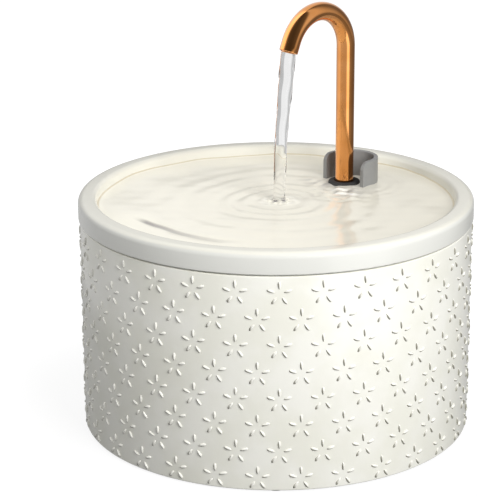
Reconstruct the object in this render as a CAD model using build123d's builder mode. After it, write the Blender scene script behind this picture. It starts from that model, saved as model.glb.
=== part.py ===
from build123d import *
import os
from math import cos, radians, sin, sqrt

# Pet water fountain: a ceramic reservoir bowl, a ceramic drinking tray that lifts off it, a bent metal
# spout standing in a grey shield, and a submersible pump in a case with a slide-in filter.
# Millimetres. Origin: centre of the underside, on the table. +Z up, -Y front, +Y the spout's side.

os.makedirs("parts", exist_ok=True)

# ---------------------------------------------------------------- driving dimensions
# Bowl and tray, glazed ceramic
body_r = 105.0          # outer radius of the bowl and of the tray's band
rim_z = 126.5           # top of the tray's rim
band_h = 11.5           # height of the tray's visible band
seam_h = 0.8            # seam between bowl and band, held open by the gasket
bowl_wall = 7.0
bowl_floor_t = 6.2
foot_ring_w = 15.0      # width of the ring that the bowl stands on
foot_recess = 1.4       # hollow inside the foot ring
edge_r = 1.3            # rounding of the seam's edges and the foot
rim_w = 9.5             # width of the tray's flat rim
rim_outer_r = 3.4       # rounding of the rim's outer edge
rim_inner_r = 2.6
basin_depth = 28.0      # rim to basin floor
basin_t = 5.0
basin_taper = 4.5       # how far the basin's wall leans in from rim to floor
basin_corner_r = 12.0
skirt_lean = 1.0        # skirt narrows by this much to drop in easily
fill_drop = 5.7         # rim to the water's surface

# Rubber feet under the bowl
pad_count = 4
pad_r = 5.5
pad_proud = 0.8
pad_seat = 1.0

# Overflow shelf at the front of the tray, with its curved slot
shelf_drop = 2.3        # water surface to shelf
shelf_w = 29.5          # shelf's width in from the rim
shelf_half_angle = 34.0
shelf_t = 4.0
shelf_edge_r = 2.5
root_r = 3.5            # concave rounding where shelf and hub meet the basin's floor
root_reach = 5.0
shelf_foot_in = 3.0     # how far the shelf's root stays inside the basin's wall
hollow_end_angle = 3.0  # wall left at each end of the hollow, in degrees
hollow_side_t = 7.2     # wall left between the hollow and the skirt
hollow_lean = 6.0       # hollow's outer wall leans in with the basin's corner
slot_in = 4.5           # slot's mid-line in from the hollow's inner wall
slot_w = 4.0
slot_half_angle = 24.0

# Spout
spout_in = 51.6         # spout's axis in from the body's edge
spout_r = 5.0
spout_wall = 1.0
spout_leg_rise = 70.8   # rim to the end of the straight leg, where the bend starts
bend_r = 21.7
bend_angle = 156.8
outlet_run = 5.9
adapter_len = 12.0
adapter_plug = 6.0
adapter_rise = 2.5      # tray's underside to the adapter's foot
adapter_bore_r = 2.6
ring_section_r = 0.7    # O-ring section
collar_r = 8.75         # black rubber collar round the spout's foot
collar_rise = 1.4       # collar's top above the water
collar_chamfer = 1.0

# Shield behind the spout, and the hub that it stands on
hub_drop = 4.3          # water surface to hub
hub_cap_t = 5.0
hub_wall = 4.0
hub_lip = 1.4           # hub's edge beyond the shield
shield_back = 5.0       # shield's centre behind the spout's axis
shield_r = 15.0
shield_wall = 2.4
shield_rise = 8.2       # shield's top above the rim
shield_reach = 6.0      # straight cheeks in front of the shield's centre
shield_corner_r = 4.5
plate_t = 2.0
sleeve_wall = 2.75
sleeve_play = 0.25      # spout in its sleeve, radial
tip_r = 6.0
tip_bore_r = 4.0
tip_len = 11.5
nut_r = 10.5
nut_room = 1.0          # round the nut, for a spanner
nut_notches = 12
nut_notch_r = 1.2
nut_h = 5.0
washer_t = 1.0

# Gasket
gasket_w = 3.0
gasket_groove = 1.0

# Cord entry at the back of the bowl
cord_r = 2.0            # bore for a 4 mm cord
cord_hole_r = 5.0
cord_drop = 9.5         # tray's underside to the cord hole's axis
grommet_r = 7.0
grommet_flange_t = 1.5
grommet_seat = 2.0      # flat cut into the bowl's side for the flange

# Pump case and filter cartridge
cup_h = 3.0
cup_r = 5.5
cup_inset = 7.0         # cup's centre in from the case's edge
cup_taper = 35          # degrees
case_wall = 2.0
case_half_w = 24.0
case_corner_r = 5.0
lid_t = 2.0
filter_w = 32.0
filter_h = 64.0
filter_t = 12.0
filter_wall = 1.5
filter_slot_w = 1.7
filter_slot_h = 12.0
filter_column_pitch = 6.0
filter_row_pitch = 16.5
filter_proud = 2.0      # grip left in front of the pocket
filter_ledge = 3.0
cotton_t = 2.0
sponge_t = 14.0

# Pump
volute_depth = 12.0
volute_room = 6.5       # volute's bore to the pump's side
pump_wall = 2.0
pump_room = 2.5         # pump's side to the case's wall
pump_corner_r = 4.0
magnet_r = 8.0
magnet_len = 18.0
magnet_setback = 2.1    # volute's back to the magnet
well_gap = 0.6          # magnet to the well round it, radial
well_wall = 1.2
stem_r = 3.2
shaft_r = 1.15
blade_count = 7
blade_t = 1.1
blade_reach_ratio = 0.86  # blade's tip, as shares of the impeller's radius
blade_sweep_ratio = 0.42
blade_curve_ratio = 0.9
impeller_room = 2.0     # impeller to the volute, radial
back_plate_t = 1.2
nozzle_r = 5.5
nozzle_bore_r = 4.0
nozzle_rise = 9.0       # nozzle above the pump's top
inlet_margin = 4.0      # volute's bore to the inlet windows
inlet_in_r = 3.8
window_count = 3
dial_t = 2.0
dial_inset = 1.0        # dial's edge in from the volute's bore
dial_tab_w = 5.0
dial_tab_h = 4.0
dial_tab_r = 1.5
dial_pin_r = 2.5
dial_pin_proud = 0.8
bush_r = 2.6
bush_len = 2.2
bush_seat = 1.0         # how deep a bush and the shaft sit in the housing
blade_gap = 1.9         # blades to the front bush
plate_gap = 0.8         # impeller's back plate to the volute's back
seal_w = 1.8
seal_t = 1.2
seal_land = 0.6         # volute's wall to the seal
core_t = 12.0
core_side_gap = 2.4     # stator to the pump's side wall
yoke_h = 6.0
coil_build = 3.2
coil_base_gap = 1.0
coil_top_gap = 2.2      # coil to the magnet's well
coil_end_gap = 2.75     # coil to the housing, front and back
riser_wall = 2.5
riser_seat = 2.0        # riser's foot above the pump's top
riser_head_gap = 2.5    # riser's head to the tray's underside
riser_socket = 1.0      # socket below the shield's tip
gland_r = 4.0
gland_h = 5.0
gland_taper = 8         # degrees

# Water as it stands in the tray and falls from the spout
landing_y = 0.9
stream_mouth_r = 3.9    # stream where it leaves the tube's bore
stream_overlap = 2.0    # how far up inside the tube it is seen
stream_sections = (     # shares of its height and of its reach, and its radius there
    (0.0, 0.0, 4.2),
    (0.03, 0.0, 3.1),
    (0.27, 0.12, 3.35),
    (0.49, 0.25, 3.75),
    (0.72, 0.45, 3.95),
    (0.88, 0.76, 4.0),
)

# Clearances
slide_gap = 0.3         # between pieces that slide past each other
turn_gap = 0.05         # running fit, radial
nest_gap = 0.8          # tray's skirt inside the bowl
case_gap = 0.5          # pump inside its case
seal_gap = 0.1          # O-ring to its bore

# ---------------------------------------------------------------- places worked out from them
band_z = rim_z - band_h
bowl_top = band_z - seam_h
floor_z = pad_proud + bowl_floor_t
bowl_in_r = body_r - bowl_wall
water_z = rim_z - fill_drop
basin_z = rim_z - basin_depth
under_z = basin_z - basin_t
skirt_r = bowl_in_r - nest_gap
skirt_low_r = skirt_r - skirt_lean
rim_in_r = body_r - rim_w
basin_r = rim_in_r - basin_taper
shelf_r = rim_in_r - shelf_w
hollow_r = shelf_r + shelf_t
hollow_out_r = skirt_r - hollow_side_t
slot_r = hollow_r + slot_in
spout_y = body_r - spout_in
spout_leg_z = rim_z + spout_leg_rise
sleeve_bore_r = spout_r + sleeve_play
sleeve_r = sleeve_bore_r + sleeve_wall
shelf_z = water_z - shelf_drop
hub_z = water_z - hub_drop
shield_y = spout_y + shield_back
hub_pocket_r = nut_r + nut_room
hub_pocket_z = hub_z - hub_cap_t
hub_front = spout_y - hub_pocket_r - hub_wall
hub_back = shield_y + shield_r + hub_lip
hub_y = (hub_front + hub_back) / 2
hub_r = (hub_back - hub_front) / 2
plate_z = hub_z + plate_t
shield_top = rim_z + shield_rise
collar_top = water_z + collar_rise
washer_z = hub_pocket_z - washer_t
adapter_z = under_z + adapter_rise
tube_z = adapter_z + adapter_len
tip_z = under_z - tip_len
cord_z = under_z - cord_drop

case_z = floor_z + cup_h
pocket_w = filter_w + 2 * slide_gap
pocket_h = filter_h + 2 * slide_gap
case_h = pocket_h + 2 * case_wall
case_top = case_z + case_h
filter_z = case_z + case_h / 2

pump_z = case_z + case_wall
pump_half_w = case_half_w - case_wall - pump_room
volute_r = pump_half_w - volute_room
impeller_r = volute_r - impeller_room
inlet_out_r = volute_r - inlet_margin
dial_r = volute_r - dial_inset
well_r = magnet_r + well_gap
well_out_r = well_r + well_wall
core_in_r = well_out_r + slide_gap
core_out_x = pump_half_w - pump_wall - core_side_gap
core_leg_w = core_out_x - core_in_r
coil_half_h = yoke_h / 2 + turn_gap + coil_build
coil_half_t = core_t / 2 + turn_gap + coil_build
yoke_z = pump_z + pump_wall + coil_base_gap + coil_half_h
axis_z = yoke_z + coil_half_h + coil_top_gap + well_out_r
pump_top = axis_z + pump_half_w
pump_h = pump_top - pump_z
pump_mid_z = pump_z + pump_h / 2
pump_depth = pump_wall + 2 * (coil_half_t + coil_end_gap)

volute_back = spout_y + volute_depth / 2
volute_front = spout_y - volute_depth / 2
cover_front = volute_front - pump_wall
dial_back = cover_front - slide_gap
dial_front = dial_back - dial_t
pin_front = dial_front - dial_pin_proud
sponge_back = pin_front - case_gap
case_in_front = sponge_back - sponge_t - case_gap
case_front = case_in_front - case_wall
motor_back = volute_back + pump_depth
cover_back = motor_back + pump_wall
case_in_back = cover_back + case_gap
case_back = case_in_back + case_wall
case_mid = (case_front + case_back) / 2
filter_front = case_front - filter_t
filter_mid = case_front - filter_t / 2
pocket_front = filter_front + filter_proud
nozzle_top = pump_top + nozzle_rise
riser_z = pump_top + riser_seat
riser_top = under_z - riser_head_gap


def facing_front(y):
    """Upright plane at the given y: local x is +X, local y is +Z, and extrusions go towards -Y."""
    return Plane.XZ.offset(-y)


def side_section():
    """Upright plane through the axis, for profiles that are revolved round Z: local (r, z)."""
    return Plane.XZ


# ---------------------------------------------------------------- reservoir bowl
foot_r = body_r - foot_ring_w
pad_ring_r = body_r - foot_ring_w / 2
spot_y = body_r - grommet_seat
with BuildPart() as bowl:
    with BuildSketch(side_section()):
        with BuildLine():
            Polyline(
                (0, pad_proud + foot_recess),
                (foot_r, pad_proud + foot_recess),
                (foot_r, pad_proud),
                (body_r, pad_proud),
                (body_r, bowl_top),
                (bowl_in_r, bowl_top),
                (bowl_in_r, floor_z),
                (0, floor_z),
                close=True,
            )
        make_face()
        for corner in ((body_r, pad_proud), (body_r, bowl_top), (bowl_in_r, bowl_top)):
            fillet(vertices().sort_by_distance(corner)[0], edge_r)
        fillet(vertices().sort_by_distance((bowl_in_r, floor_z))[0], bowl_wall)
    revolve(axis=Axis.Z)
    with BuildSketch(Plane.XY.offset(pad_proud)):
        with PolarLocations(pad_ring_r, pad_count, start_angle=45):
            Circle(pad_r)
    extrude(amount=pad_seat, mode=Mode.SUBTRACT)
    with BuildSketch(facing_front(body_r + 1)):
        with Locations((0, cord_z)):
            Circle(cord_hole_r)
    extrude(amount=bowl_wall + 2, mode=Mode.SUBTRACT)
    with BuildSketch(facing_front(body_r + 1)):
        with Locations((0, cord_z)):
            Circle(grommet_r + slide_gap)
    extrude(amount=body_r + 1 - spot_y, mode=Mode.SUBTRACT)
bowl.part.label = "reservoir_bowl"
export_step(bowl.part, "parts/reservoir_bowl.step")

with BuildPart() as pads:
    with BuildSketch():
        with PolarLocations(pad_ring_r, pad_count, start_angle=45):
            Circle(pad_r)
    extrude(amount=pad_proud + pad_seat)
    chamfer(pads.edges().group_by(Axis.Z)[0], pad_proud / 2)
pads.part.label = "foot_pads"
export_step(pads.part, "parts/foot_pads.step")

# ---------------------------------------------------------------- cord grommet, no cord
inner_seat_y = sqrt(bowl_in_r**2 - grommet_r**2) - slide_gap / 2
grommet_back = spot_y + grommet_flange_t
with BuildPart() as grommet:
    with BuildSketch(facing_front(grommet_back)):
        with Locations((0, cord_z)):
            Circle(grommet_r)
    extrude(amount=grommet_flange_t)
    with BuildSketch(facing_front(spot_y)):
        with Locations((0, cord_z)):
            Circle(cord_hole_r - turn_gap)
    extrude(amount=spot_y - inner_seat_y)
    with BuildSketch(facing_front(inner_seat_y)):
        with Locations((0, cord_z)):
            Circle(grommet_r)
    extrude(amount=grommet_flange_t)
    with BuildSketch(facing_front(grommet_back)):
        with Locations((0, cord_z)):
            Circle(cord_r)
    extrude(amount=grommet_back - inner_seat_y + grommet_flange_t, mode=Mode.SUBTRACT)
grommet.part.label = "cord_grommet"
export_step(grommet.part, "parts/cord_grommet.step")

# ---------------------------------------------------------------- drinking tray
skirt_corner_r = basin_corner_r + basin_t
gasket_in_r = (bowl_in_r + body_r - gasket_w) / 2
gasket_out_r = gasket_in_r + gasket_w
slot_line = CenterArc((0, 0), slot_r, -90 - slot_half_angle, 2 * slot_half_angle)
with BuildPart() as tray:
    with BuildSketch(side_section()):
        with BuildLine():
            Polyline(
                (0, under_z),
                (skirt_low_r, under_z),
                (skirt_r, band_z),
                (body_r, band_z),
                (body_r, rim_z),
                (rim_in_r, rim_z),
                (basin_r, basin_z),
                (0, basin_z),
                close=True,
            )
        make_face()
        fillet(vertices().sort_by_distance((skirt_low_r, under_z))[0], skirt_corner_r)
        fillet(vertices().sort_by_distance((basin_r, basin_z))[0], basin_corner_r)
        fillet(vertices().sort_by_distance((body_r, rim_z))[0], rim_outer_r)
        fillet(vertices().sort_by_distance((rim_in_r, rim_z))[0], rim_inner_r)
        fillet(vertices().sort_by_distance((body_r, band_z))[0], edge_r)
    revolve(axis=Axis.Z)
    # Overflow shelf: a hollow step against the front wall
    with BuildSketch(side_section().rotated((0, 0, -90 - shelf_half_angle))):
        with BuildLine():
            Polyline(
                (shelf_r - root_reach, basin_z - basin_t / 2),
                (shelf_r - root_reach, basin_z),
                (shelf_r, basin_z),
                (shelf_r, shelf_z),
                (rim_in_r, shelf_z),
                (rim_in_r, basin_z + basin_corner_r),
                (basin_r - shelf_foot_in, basin_z - basin_t / 4),
                close=True,
            )
        make_face()
        fillet(vertices().sort_by_distance((shelf_r, shelf_z))[0], shelf_edge_r)
        fillet(vertices().sort_by_distance((shelf_r, basin_z))[0], root_r)
    revolve(axis=Axis.Z, revolution_arc=2 * shelf_half_angle)
    hollow_half_angle = shelf_half_angle - hollow_end_angle
    with BuildSketch(side_section().rotated((0, 0, -90 - hollow_half_angle))):
        with BuildLine():
            Polyline(
                (hollow_r, under_z - 1),
                (hollow_r, shelf_z - shelf_t),
                (hollow_out_r, shelf_z - shelf_t),
                (hollow_out_r, basin_z + basin_corner_r / 2),
                (hollow_out_r - hollow_lean, under_z - 1),
                close=True,
            )
        make_face()
    revolve(axis=Axis.Z, revolution_arc=2 * hollow_half_angle, mode=Mode.SUBTRACT)
    with BuildSketch(Plane.XY.offset(shelf_z + 1)):
        SlotArc(slot_line, slot_w)
    extrude(amount=-(shelf_t + 2), mode=Mode.SUBTRACT)
    # Hub that carries the shield and the spout, hollow from below
    with BuildSketch(facing_front(hub_y)):
        with BuildLine():
            Polyline(
                (0, basin_z - basin_t / 2),
                (hub_r + root_reach, basin_z - basin_t / 2),
                (hub_r + root_reach, basin_z),
                (hub_r, basin_z),
                (hub_r, hub_z),
                (0, hub_z),
                close=True,
            )
        make_face()
        fillet(vertices().sort_by_distance((hub_r, hub_z))[0], hub_lip)
        fillet(vertices().sort_by_distance((hub_r, basin_z))[0], root_r)
    revolve(axis=Axis((0, hub_y, 0), (0, 0, 1)))
    with BuildSketch(Plane.XY.offset(under_z)):
        with Locations((0, spout_y)):
            Circle(hub_pocket_r)
    extrude(amount=hub_pocket_z - under_z, mode=Mode.SUBTRACT)
    with BuildSketch(Plane.XY.offset(hub_z)):
        with Locations((0, spout_y)):
            Circle(sleeve_r + slide_gap)
    extrude(amount=-hub_cap_t, mode=Mode.SUBTRACT)
    with BuildSketch(Plane.XY.offset(band_z)):
        Circle(gasket_out_r)
        Circle(gasket_in_r, mode=Mode.SUBTRACT)
    extrude(amount=gasket_groove, mode=Mode.SUBTRACT)
tray.part.label = "drinking_tray"
export_step(tray.part, "parts/drinking_tray.step")

with BuildPart() as gasket:
    with BuildSketch(Plane.XY.offset(bowl_top)):
        Circle(gasket_out_r)
        Circle(gasket_in_r, mode=Mode.SUBTRACT)
    extrude(amount=seam_h + gasket_groove)
gasket.part.label = "tray_gasket"
export_step(gasket.part, "parts/tray_gasket.step")

# ---------------------------------------------------------------- spout shield, its nut and washer
with BuildPart() as shield:
    with BuildSketch(Plane.XY.offset(hub_z)):
        with Locations((0, shield_y)):
            Circle(shield_r)
        with Locations((0, spout_y)):
            Circle(collar_r + shield_wall)
    extrude(amount=plate_t)
    with BuildSketch(Plane.XY.offset(plate_z)):
        with Locations((0, shield_y)):
            Circle(shield_r)
            Circle(shield_r - shield_wall, mode=Mode.SUBTRACT)
        with Locations((0, shield_y - shield_r)):
            Rectangle(2 * shield_r, 2 * shield_r, mode=Mode.SUBTRACT)
        with Locations((shield_r - shield_wall / 2, 0), (-shield_r + shield_wall / 2, 0)):
            with Locations((0, shield_y - shield_reach / 2)):
                Rectangle(shield_wall, shield_reach)
    extrude(amount=shield_top - plate_z)
    cheek_edges = shield.edges().filter_by(Axis.X).group_by(Axis.Z)[-1].group_by(Axis.Y)[0]
    fillet(cheek_edges, shield_corner_r)
    with BuildSketch(Plane.XY.offset(hub_z)):
        with Locations((0, spout_y)):
            Circle(sleeve_r)
    extrude(amount=under_z - hub_z)
    with BuildSketch(Plane.XY.offset(under_z)):
        with Locations((0, spout_y)):
            Circle(tip_r)
    extrude(amount=-tip_len)
    with BuildSketch(Plane.XY.offset(plate_z)):
        with Locations((0, spout_y)):
            Circle(sleeve_bore_r)
    extrude(amount=adapter_z - slide_gap - plate_z, mode=Mode.SUBTRACT)
    with BuildSketch(Plane.XY.offset(plate_z)):
        with Locations((0, spout_y)):
            Circle(tip_bore_r)
    extrude(amount=tip_z - plate_z, mode=Mode.SUBTRACT)
shield.part.label = "spout_shield"
export_step(shield.part, "parts/spout_shield.step")

with BuildPart() as washer:
    with BuildSketch(Plane.XY.offset(washer_z)):
        with Locations((0, spout_y)):
            Circle(nut_r)
            Circle(sleeve_r, mode=Mode.SUBTRACT)
    extrude(amount=washer_t)
washer.part.label = "shield_washer"
export_step(washer.part, "parts/shield_washer.step")

with BuildPart() as nut:
    with BuildSketch(Plane.XY.offset(washer_z)):
        with Locations((0, spout_y)):
            Circle(nut_r)
            Circle(sleeve_r, mode=Mode.SUBTRACT)
            with PolarLocations(nut_r, nut_notches):
                Circle(nut_notch_r, mode=Mode.SUBTRACT)
    extrude(amount=-nut_h)
nut.part.label = "shield_nut"
export_step(nut.part, "parts/shield_nut.step")

# ---------------------------------------------------------------- spout, adapter, O-rings, collar
bend_y = spout_y - bend_r
bend_end = (bend_y + bend_r * cos(radians(bend_angle)), spout_leg_z + bend_r * sin(radians(bend_angle)))
bend_end_dir = (-sin(radians(bend_angle)), cos(radians(bend_angle)))
with BuildPart() as spout:
    with BuildLine(Plane.YZ):
        Line((spout_y, tube_z), (spout_y, spout_leg_z))
        CenterArc((bend_y, spout_leg_z), bend_r, 0, bend_angle)
        PolarLine(bend_end, outlet_run, direction=bend_end_dir)
    with BuildSketch(Plane.XY.offset(tube_z)):
        with Locations((0, spout_y)):
            Circle(spout_r)
            Circle(spout_r - spout_wall, mode=Mode.SUBTRACT)
    sweep()
spout.part.label = "spout_tube"
export_step(spout.part, "parts/spout_tube.step")

ring_out_r = sleeve_bore_r - seal_gap
ring_mid_r = ring_out_r - ring_section_r
groove_r = ring_mid_r - ring_section_r
ring_places = [adapter_z + adapter_len * share for share in (0.3, 0.7)]
with BuildPart() as adapter:
    with BuildSketch(Plane.XY.offset(adapter_z)):
        with Locations((0, spout_y)):
            Circle(spout_r)
    extrude(amount=adapter_len)
    with BuildSketch(Plane.XY.offset(tube_z)):
        with Locations((0, spout_y)):
            Circle(spout_r - spout_wall)
    extrude(amount=adapter_plug)
    for place in ring_places:
        with BuildSketch(Plane.XY.offset(place - ring_section_r - seal_gap)):
            with Locations((0, spout_y)):
                Circle(spout_r)
                Circle(groove_r, mode=Mode.SUBTRACT)
        extrude(amount=2 * (ring_section_r + seal_gap), mode=Mode.SUBTRACT)
    with BuildSketch(Plane.XY.offset(adapter_z)):
        with Locations((0, spout_y)):
            Circle(adapter_bore_r)
    extrude(amount=adapter_len + adapter_plug, mode=Mode.SUBTRACT)
adapter.part.label = "spout_adapter"
export_step(adapter.part, "parts/spout_adapter.step")

with BuildPart() as o_rings:
    with Locations(*[(0, spout_y, place) for place in ring_places]):
        Torus(ring_mid_r, ring_section_r)
o_rings.part.label = "adapter_o_rings"
export_step(o_rings.part, "parts/adapter_o_rings.step")

with BuildPart() as collar:
    with BuildSketch(Plane.XY.offset(plate_z)):
        with Locations((0, spout_y)):
            Circle(collar_r)
            Circle(sleeve_bore_r, mode=Mode.SUBTRACT)
    extrude(amount=collar_top - plate_z)
    chamfer(collar.edges().group_by(Axis.Z)[-1].sort_by(SortBy.RADIUS)[-1], collar_chamfer)
collar.part.label = "spout_collar"
export_step(collar.part, "parts/spout_collar.step")

# ---------------------------------------------------------------- pump case, lid, suction cups
case_size_y = case_back - case_front
with BuildPart() as case:
    with BuildSketch(Plane.XY.offset(case_z)):
        with Locations((0, case_mid)):
            RectangleRounded(2 * case_half_w, case_size_y, case_corner_r)
    extrude(amount=case_h)
    with BuildSketch(Plane.XY.offset(pump_z)):
        with Locations((0, case_mid)):
            RectangleRounded(
                2 * (case_half_w - case_wall), case_size_y - 2 * case_wall, case_corner_r - case_wall
            )
    extrude(amount=case_h, mode=Mode.SUBTRACT)
    with BuildSketch(facing_front(case_front)):
        with Locations((0, filter_z)):
            SlotOverall(pocket_h + 2 * case_wall, pocket_w + 2 * case_wall, rotation=90)
            SlotOverall(pocket_h, pocket_w, rotation=90, mode=Mode.SUBTRACT)
    extrude(amount=case_front - pocket_front)
    with BuildSketch(facing_front(case_in_front)):
        with Locations((0, filter_z)):
            SlotOverall(filter_h - 2 * filter_ledge, filter_w - 2 * filter_ledge, rotation=90)
    extrude(amount=case_wall, mode=Mode.SUBTRACT)
    with BuildSketch(facing_front(case_back)):
        with Locations((case_half_w / 2, case_top)):
            Rectangle(3 * cord_r, 8 * cord_r)
    extrude(amount=case_wall, mode=Mode.SUBTRACT)
case.part.label = "pump_case"
export_step(case.part, "parts/pump_case.step")

riser_r = nozzle_r + riser_wall
with BuildPart() as case_lid:
    with BuildSketch(Plane.XY.offset(case_top)):
        with Locations((0, case_mid)):
            RectangleRounded(2 * case_half_w, case_size_y, case_corner_r)
    extrude(amount=lid_t)
    lip_in = case_wall + slide_gap
    with BuildSketch(Plane.XY.offset(case_top)):
        with Locations((0, case_mid)):
            RectangleRounded(2 * (case_half_w - lip_in), case_size_y - 2 * lip_in, case_corner_r - lip_in)
            RectangleRounded(
                2 * (case_half_w - 2 * lip_in), case_size_y - 4 * lip_in, case_corner_r - lip_in, mode=Mode.SUBTRACT
            )
    extrude(amount=-lid_t)
    with BuildSketch(Plane.XY.offset(case_top)):
        with Locations((0, spout_y)):
            Circle(riser_r + case_gap)
    extrude(amount=lid_t, mode=Mode.SUBTRACT)
    fillet(case_lid.faces().sort_by(Axis.Z)[-1].outer_wire().edges(), lid_t / 3)
case_lid.part.label = "case_lid"
export_step(case_lid.part, "parts/case_lid.step")

with BuildPart() as cups:
    with BuildSketch(Plane.XY.offset(floor_z)):
        with Locations((0, case_mid)):
            with GridLocations(2 * (case_half_w - cup_inset), case_size_y - 2 * cup_inset, 2, 2):
                Circle(cup_r)
    extrude(amount=cup_h, taper=cup_taper)
cups.part.label = "suction_cups"
export_step(cups.part, "parts/suction_cups.step")

# ---------------------------------------------------------------- filter cartridge
slot_columns = (
    [(side * 1.5, row) for side in (-1, 1) for row in (-0.5, 0.5)]
    + [(side * 0.5, row) for side in (-1, 1) for row in (-1, 0, 1)]
)
slot_places = [(col * filter_column_pitch, filter_z + row * filter_row_pitch) for col, row in slot_columns]


def filter_half(back_y, open_back):
    """One shell of the cartridge: a pill-shaped cup with slots in its face."""
    depth = filter_t / 2
    with BuildPart() as half:
        with BuildSketch(facing_front(back_y)):
            with Locations((0, filter_z)):
                SlotOverall(filter_h, filter_w, rotation=90)
        extrude(amount=depth)
        outer_face = half.faces().sort_by(Axis.Y)[0 if open_back else -1]
        fillet(outer_face.edges(), filter_wall)
        hollow_y = back_y if open_back else back_y - filter_wall
        with BuildSketch(facing_front(hollow_y)):
            with Locations((0, filter_z)):
                SlotOverall(filter_h - 2 * filter_wall, filter_w - 2 * filter_wall, rotation=90)
        extrude(amount=depth - filter_wall, mode=Mode.SUBTRACT)
        with BuildSketch(facing_front(back_y)):
            with Locations(*slot_places):
                SlotOverall(filter_slot_h, filter_slot_w, rotation=90)
        extrude(amount=depth, mode=Mode.SUBTRACT)
    return half.part


filter_front_shell = filter_half(filter_mid, True)
filter_front_shell.label = "filter_front_shell"
export_step(filter_front_shell, "parts/filter_front_shell.step")

filter_back_shell = filter_half(case_front, False)
filter_back_shell.label = "filter_back_shell"
export_step(filter_back_shell, "parts/filter_back_shell.step")

media_inset = filter_wall + slide_gap
media_back = case_front - media_inset
cotton_back = filter_front + media_inset + cotton_t
with BuildPart() as carbon:
    with BuildSketch(facing_front(media_back)):
        with Locations((0, filter_z)):
            SlotOverall(filter_h - 2 * media_inset, filter_w - 2 * media_inset, rotation=90)
    extrude(amount=media_back - cotton_back - slide_gap)
carbon.part.label = "carbon_media"
export_step(carbon.part, "parts/carbon_media.step")

with BuildPart() as cotton:
    with BuildSketch(facing_front(cotton_back)):
        with Locations((0, filter_z)):
            SlotOverall(filter_h - 2 * media_inset, filter_w - 2 * media_inset, rotation=90)
    extrude(amount=cotton_t)
cotton.part.label = "cotton_pad"
export_step(cotton.part, "parts/cotton_pad.step")

sponge_half_w = case_half_w - case_wall - case_gap
with BuildPart() as sponge:
    with BuildSketch(Plane.XY.offset(pump_z)):
        with Locations((0, sponge_back - sponge_t / 2)):
            RectangleRounded(2 * sponge_half_w, sponge_t, case_corner_r - case_wall)
    extrude(amount=case_top - lid_t - case_gap - pump_z)
sponge.part.label = "prefilter_sponge"
export_step(sponge.part, "parts/prefilter_sponge.step")

# ---------------------------------------------------------------- pump housing
magnet_back = volute_back + magnet_setback + magnet_len
well_end = magnet_back + slide_gap + bush_len - bush_seat
with BuildPart() as motor:
    with BuildSketch(facing_front(motor_back)):
        with Locations((0, pump_mid_z)):
            RectangleRounded(2 * pump_half_w, pump_h, pump_corner_r)
    extrude(amount=pump_depth)
    with BuildSketch(facing_front(motor_back)):
        with Locations((0, pump_mid_z)):
            RectangleRounded(2 * (pump_half_w - pump_wall), pump_h - 2 * pump_wall, pump_corner_r - pump_wall)
    extrude(amount=pump_depth - pump_wall, mode=Mode.SUBTRACT)
    with BuildSketch(facing_front(well_end + pump_wall)):
        with Locations((0, axis_z)):
            Circle(well_out_r)
    extrude(amount=well_end + pump_wall - volute_back)
    with BuildSketch(facing_front(well_end)):
        with Locations((0, axis_z)):
            Circle(well_r)
    extrude(amount=well_end - volute_back, mode=Mode.SUBTRACT)
    with BuildSketch(facing_front(well_end + bush_seat)):
        with Locations((0, axis_z)):
            Circle(bush_r)
    extrude(amount=bush_seat, mode=Mode.SUBTRACT)
motor.part.label = "pump_body"
export_step(motor.part, "parts/pump_body.step")

with BuildPart() as motor_cover:
    with BuildSketch(facing_front(cover_back)):
        with Locations((0, pump_mid_z)):
            RectangleRounded(2 * pump_half_w, pump_h, pump_corner_r)
    extrude(amount=pump_wall)
    fillet(motor_cover.faces().sort_by(Axis.Y)[-1].edges(), pump_wall / 2)
motor_cover.part.label = "pump_back_cover"
export_step(motor_cover.part, "parts/pump_back_cover.step")

window_angle = 180.0 / window_count


def inlet_windows(plane):
    """The ring of curved windows that lets water in, as a sketch on the given plane."""
    window_line = CenterArc((0, 0), (inlet_in_r + inlet_out_r) / 2, -window_angle / 3, 2 * window_angle / 3)
    with BuildSketch(plane) as windows:
        with Locations((0, axis_z)):
            with PolarLocations(0, window_count, start_angle=90):
                SlotArc(window_line, inlet_out_r - inlet_in_r)
    return windows.sketch


cover_windows = inlet_windows(facing_front(volute_front))
dial_windows = inlet_windows(facing_front(dial_back))

seal_in_r = volute_r + pump_wall + seal_land
with BuildPart() as volute:
    with BuildSketch(facing_front(volute_back)):
        with Locations((0, pump_mid_z)):
            RectangleRounded(2 * pump_half_w, pump_h, pump_corner_r)
    extrude(amount=pump_wall)
    with BuildSketch(facing_front(volute_back)):
        with Locations((0, axis_z)):
            Circle(volute_r + pump_wall)
    extrude(amount=volute_back - cover_front)
    with BuildSketch(Plane.XY.offset(axis_z)):
        with Locations((0, spout_y)):
            Circle(nozzle_r)
    extrude(amount=nozzle_top - axis_z)
    with BuildSketch(facing_front(cover_front)):
        with Locations((0, axis_z)):
            Circle(dial_pin_r)
    extrude(amount=cover_front - pin_front)
    with BuildSketch(facing_front(volute_back)):
        with Locations((0, axis_z)):
            Circle(volute_r)
    extrude(amount=volute_depth, mode=Mode.SUBTRACT)
    with BuildSketch(Plane.XY.offset(axis_z)):
        with Locations((0, spout_y)):
            Circle(nozzle_bore_r)
    extrude(amount=nozzle_top - axis_z, mode=Mode.SUBTRACT)
    extrude(cover_windows, amount=pump_wall, mode=Mode.SUBTRACT)
    with BuildSketch(facing_front(volute_front)):
        with Locations((0, axis_z)):
            Circle(bush_r)
    extrude(amount=bush_seat, mode=Mode.SUBTRACT)
    with BuildSketch(facing_front(volute_back)):
        with Locations((0, axis_z)):
            Circle(seal_in_r + seal_w)
            Circle(seal_in_r, mode=Mode.SUBTRACT)
    extrude(amount=seal_t, mode=Mode.SUBTRACT)
volute.part.label = "volute_cover"
export_step(volute.part, "parts/volute_cover.step")

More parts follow.
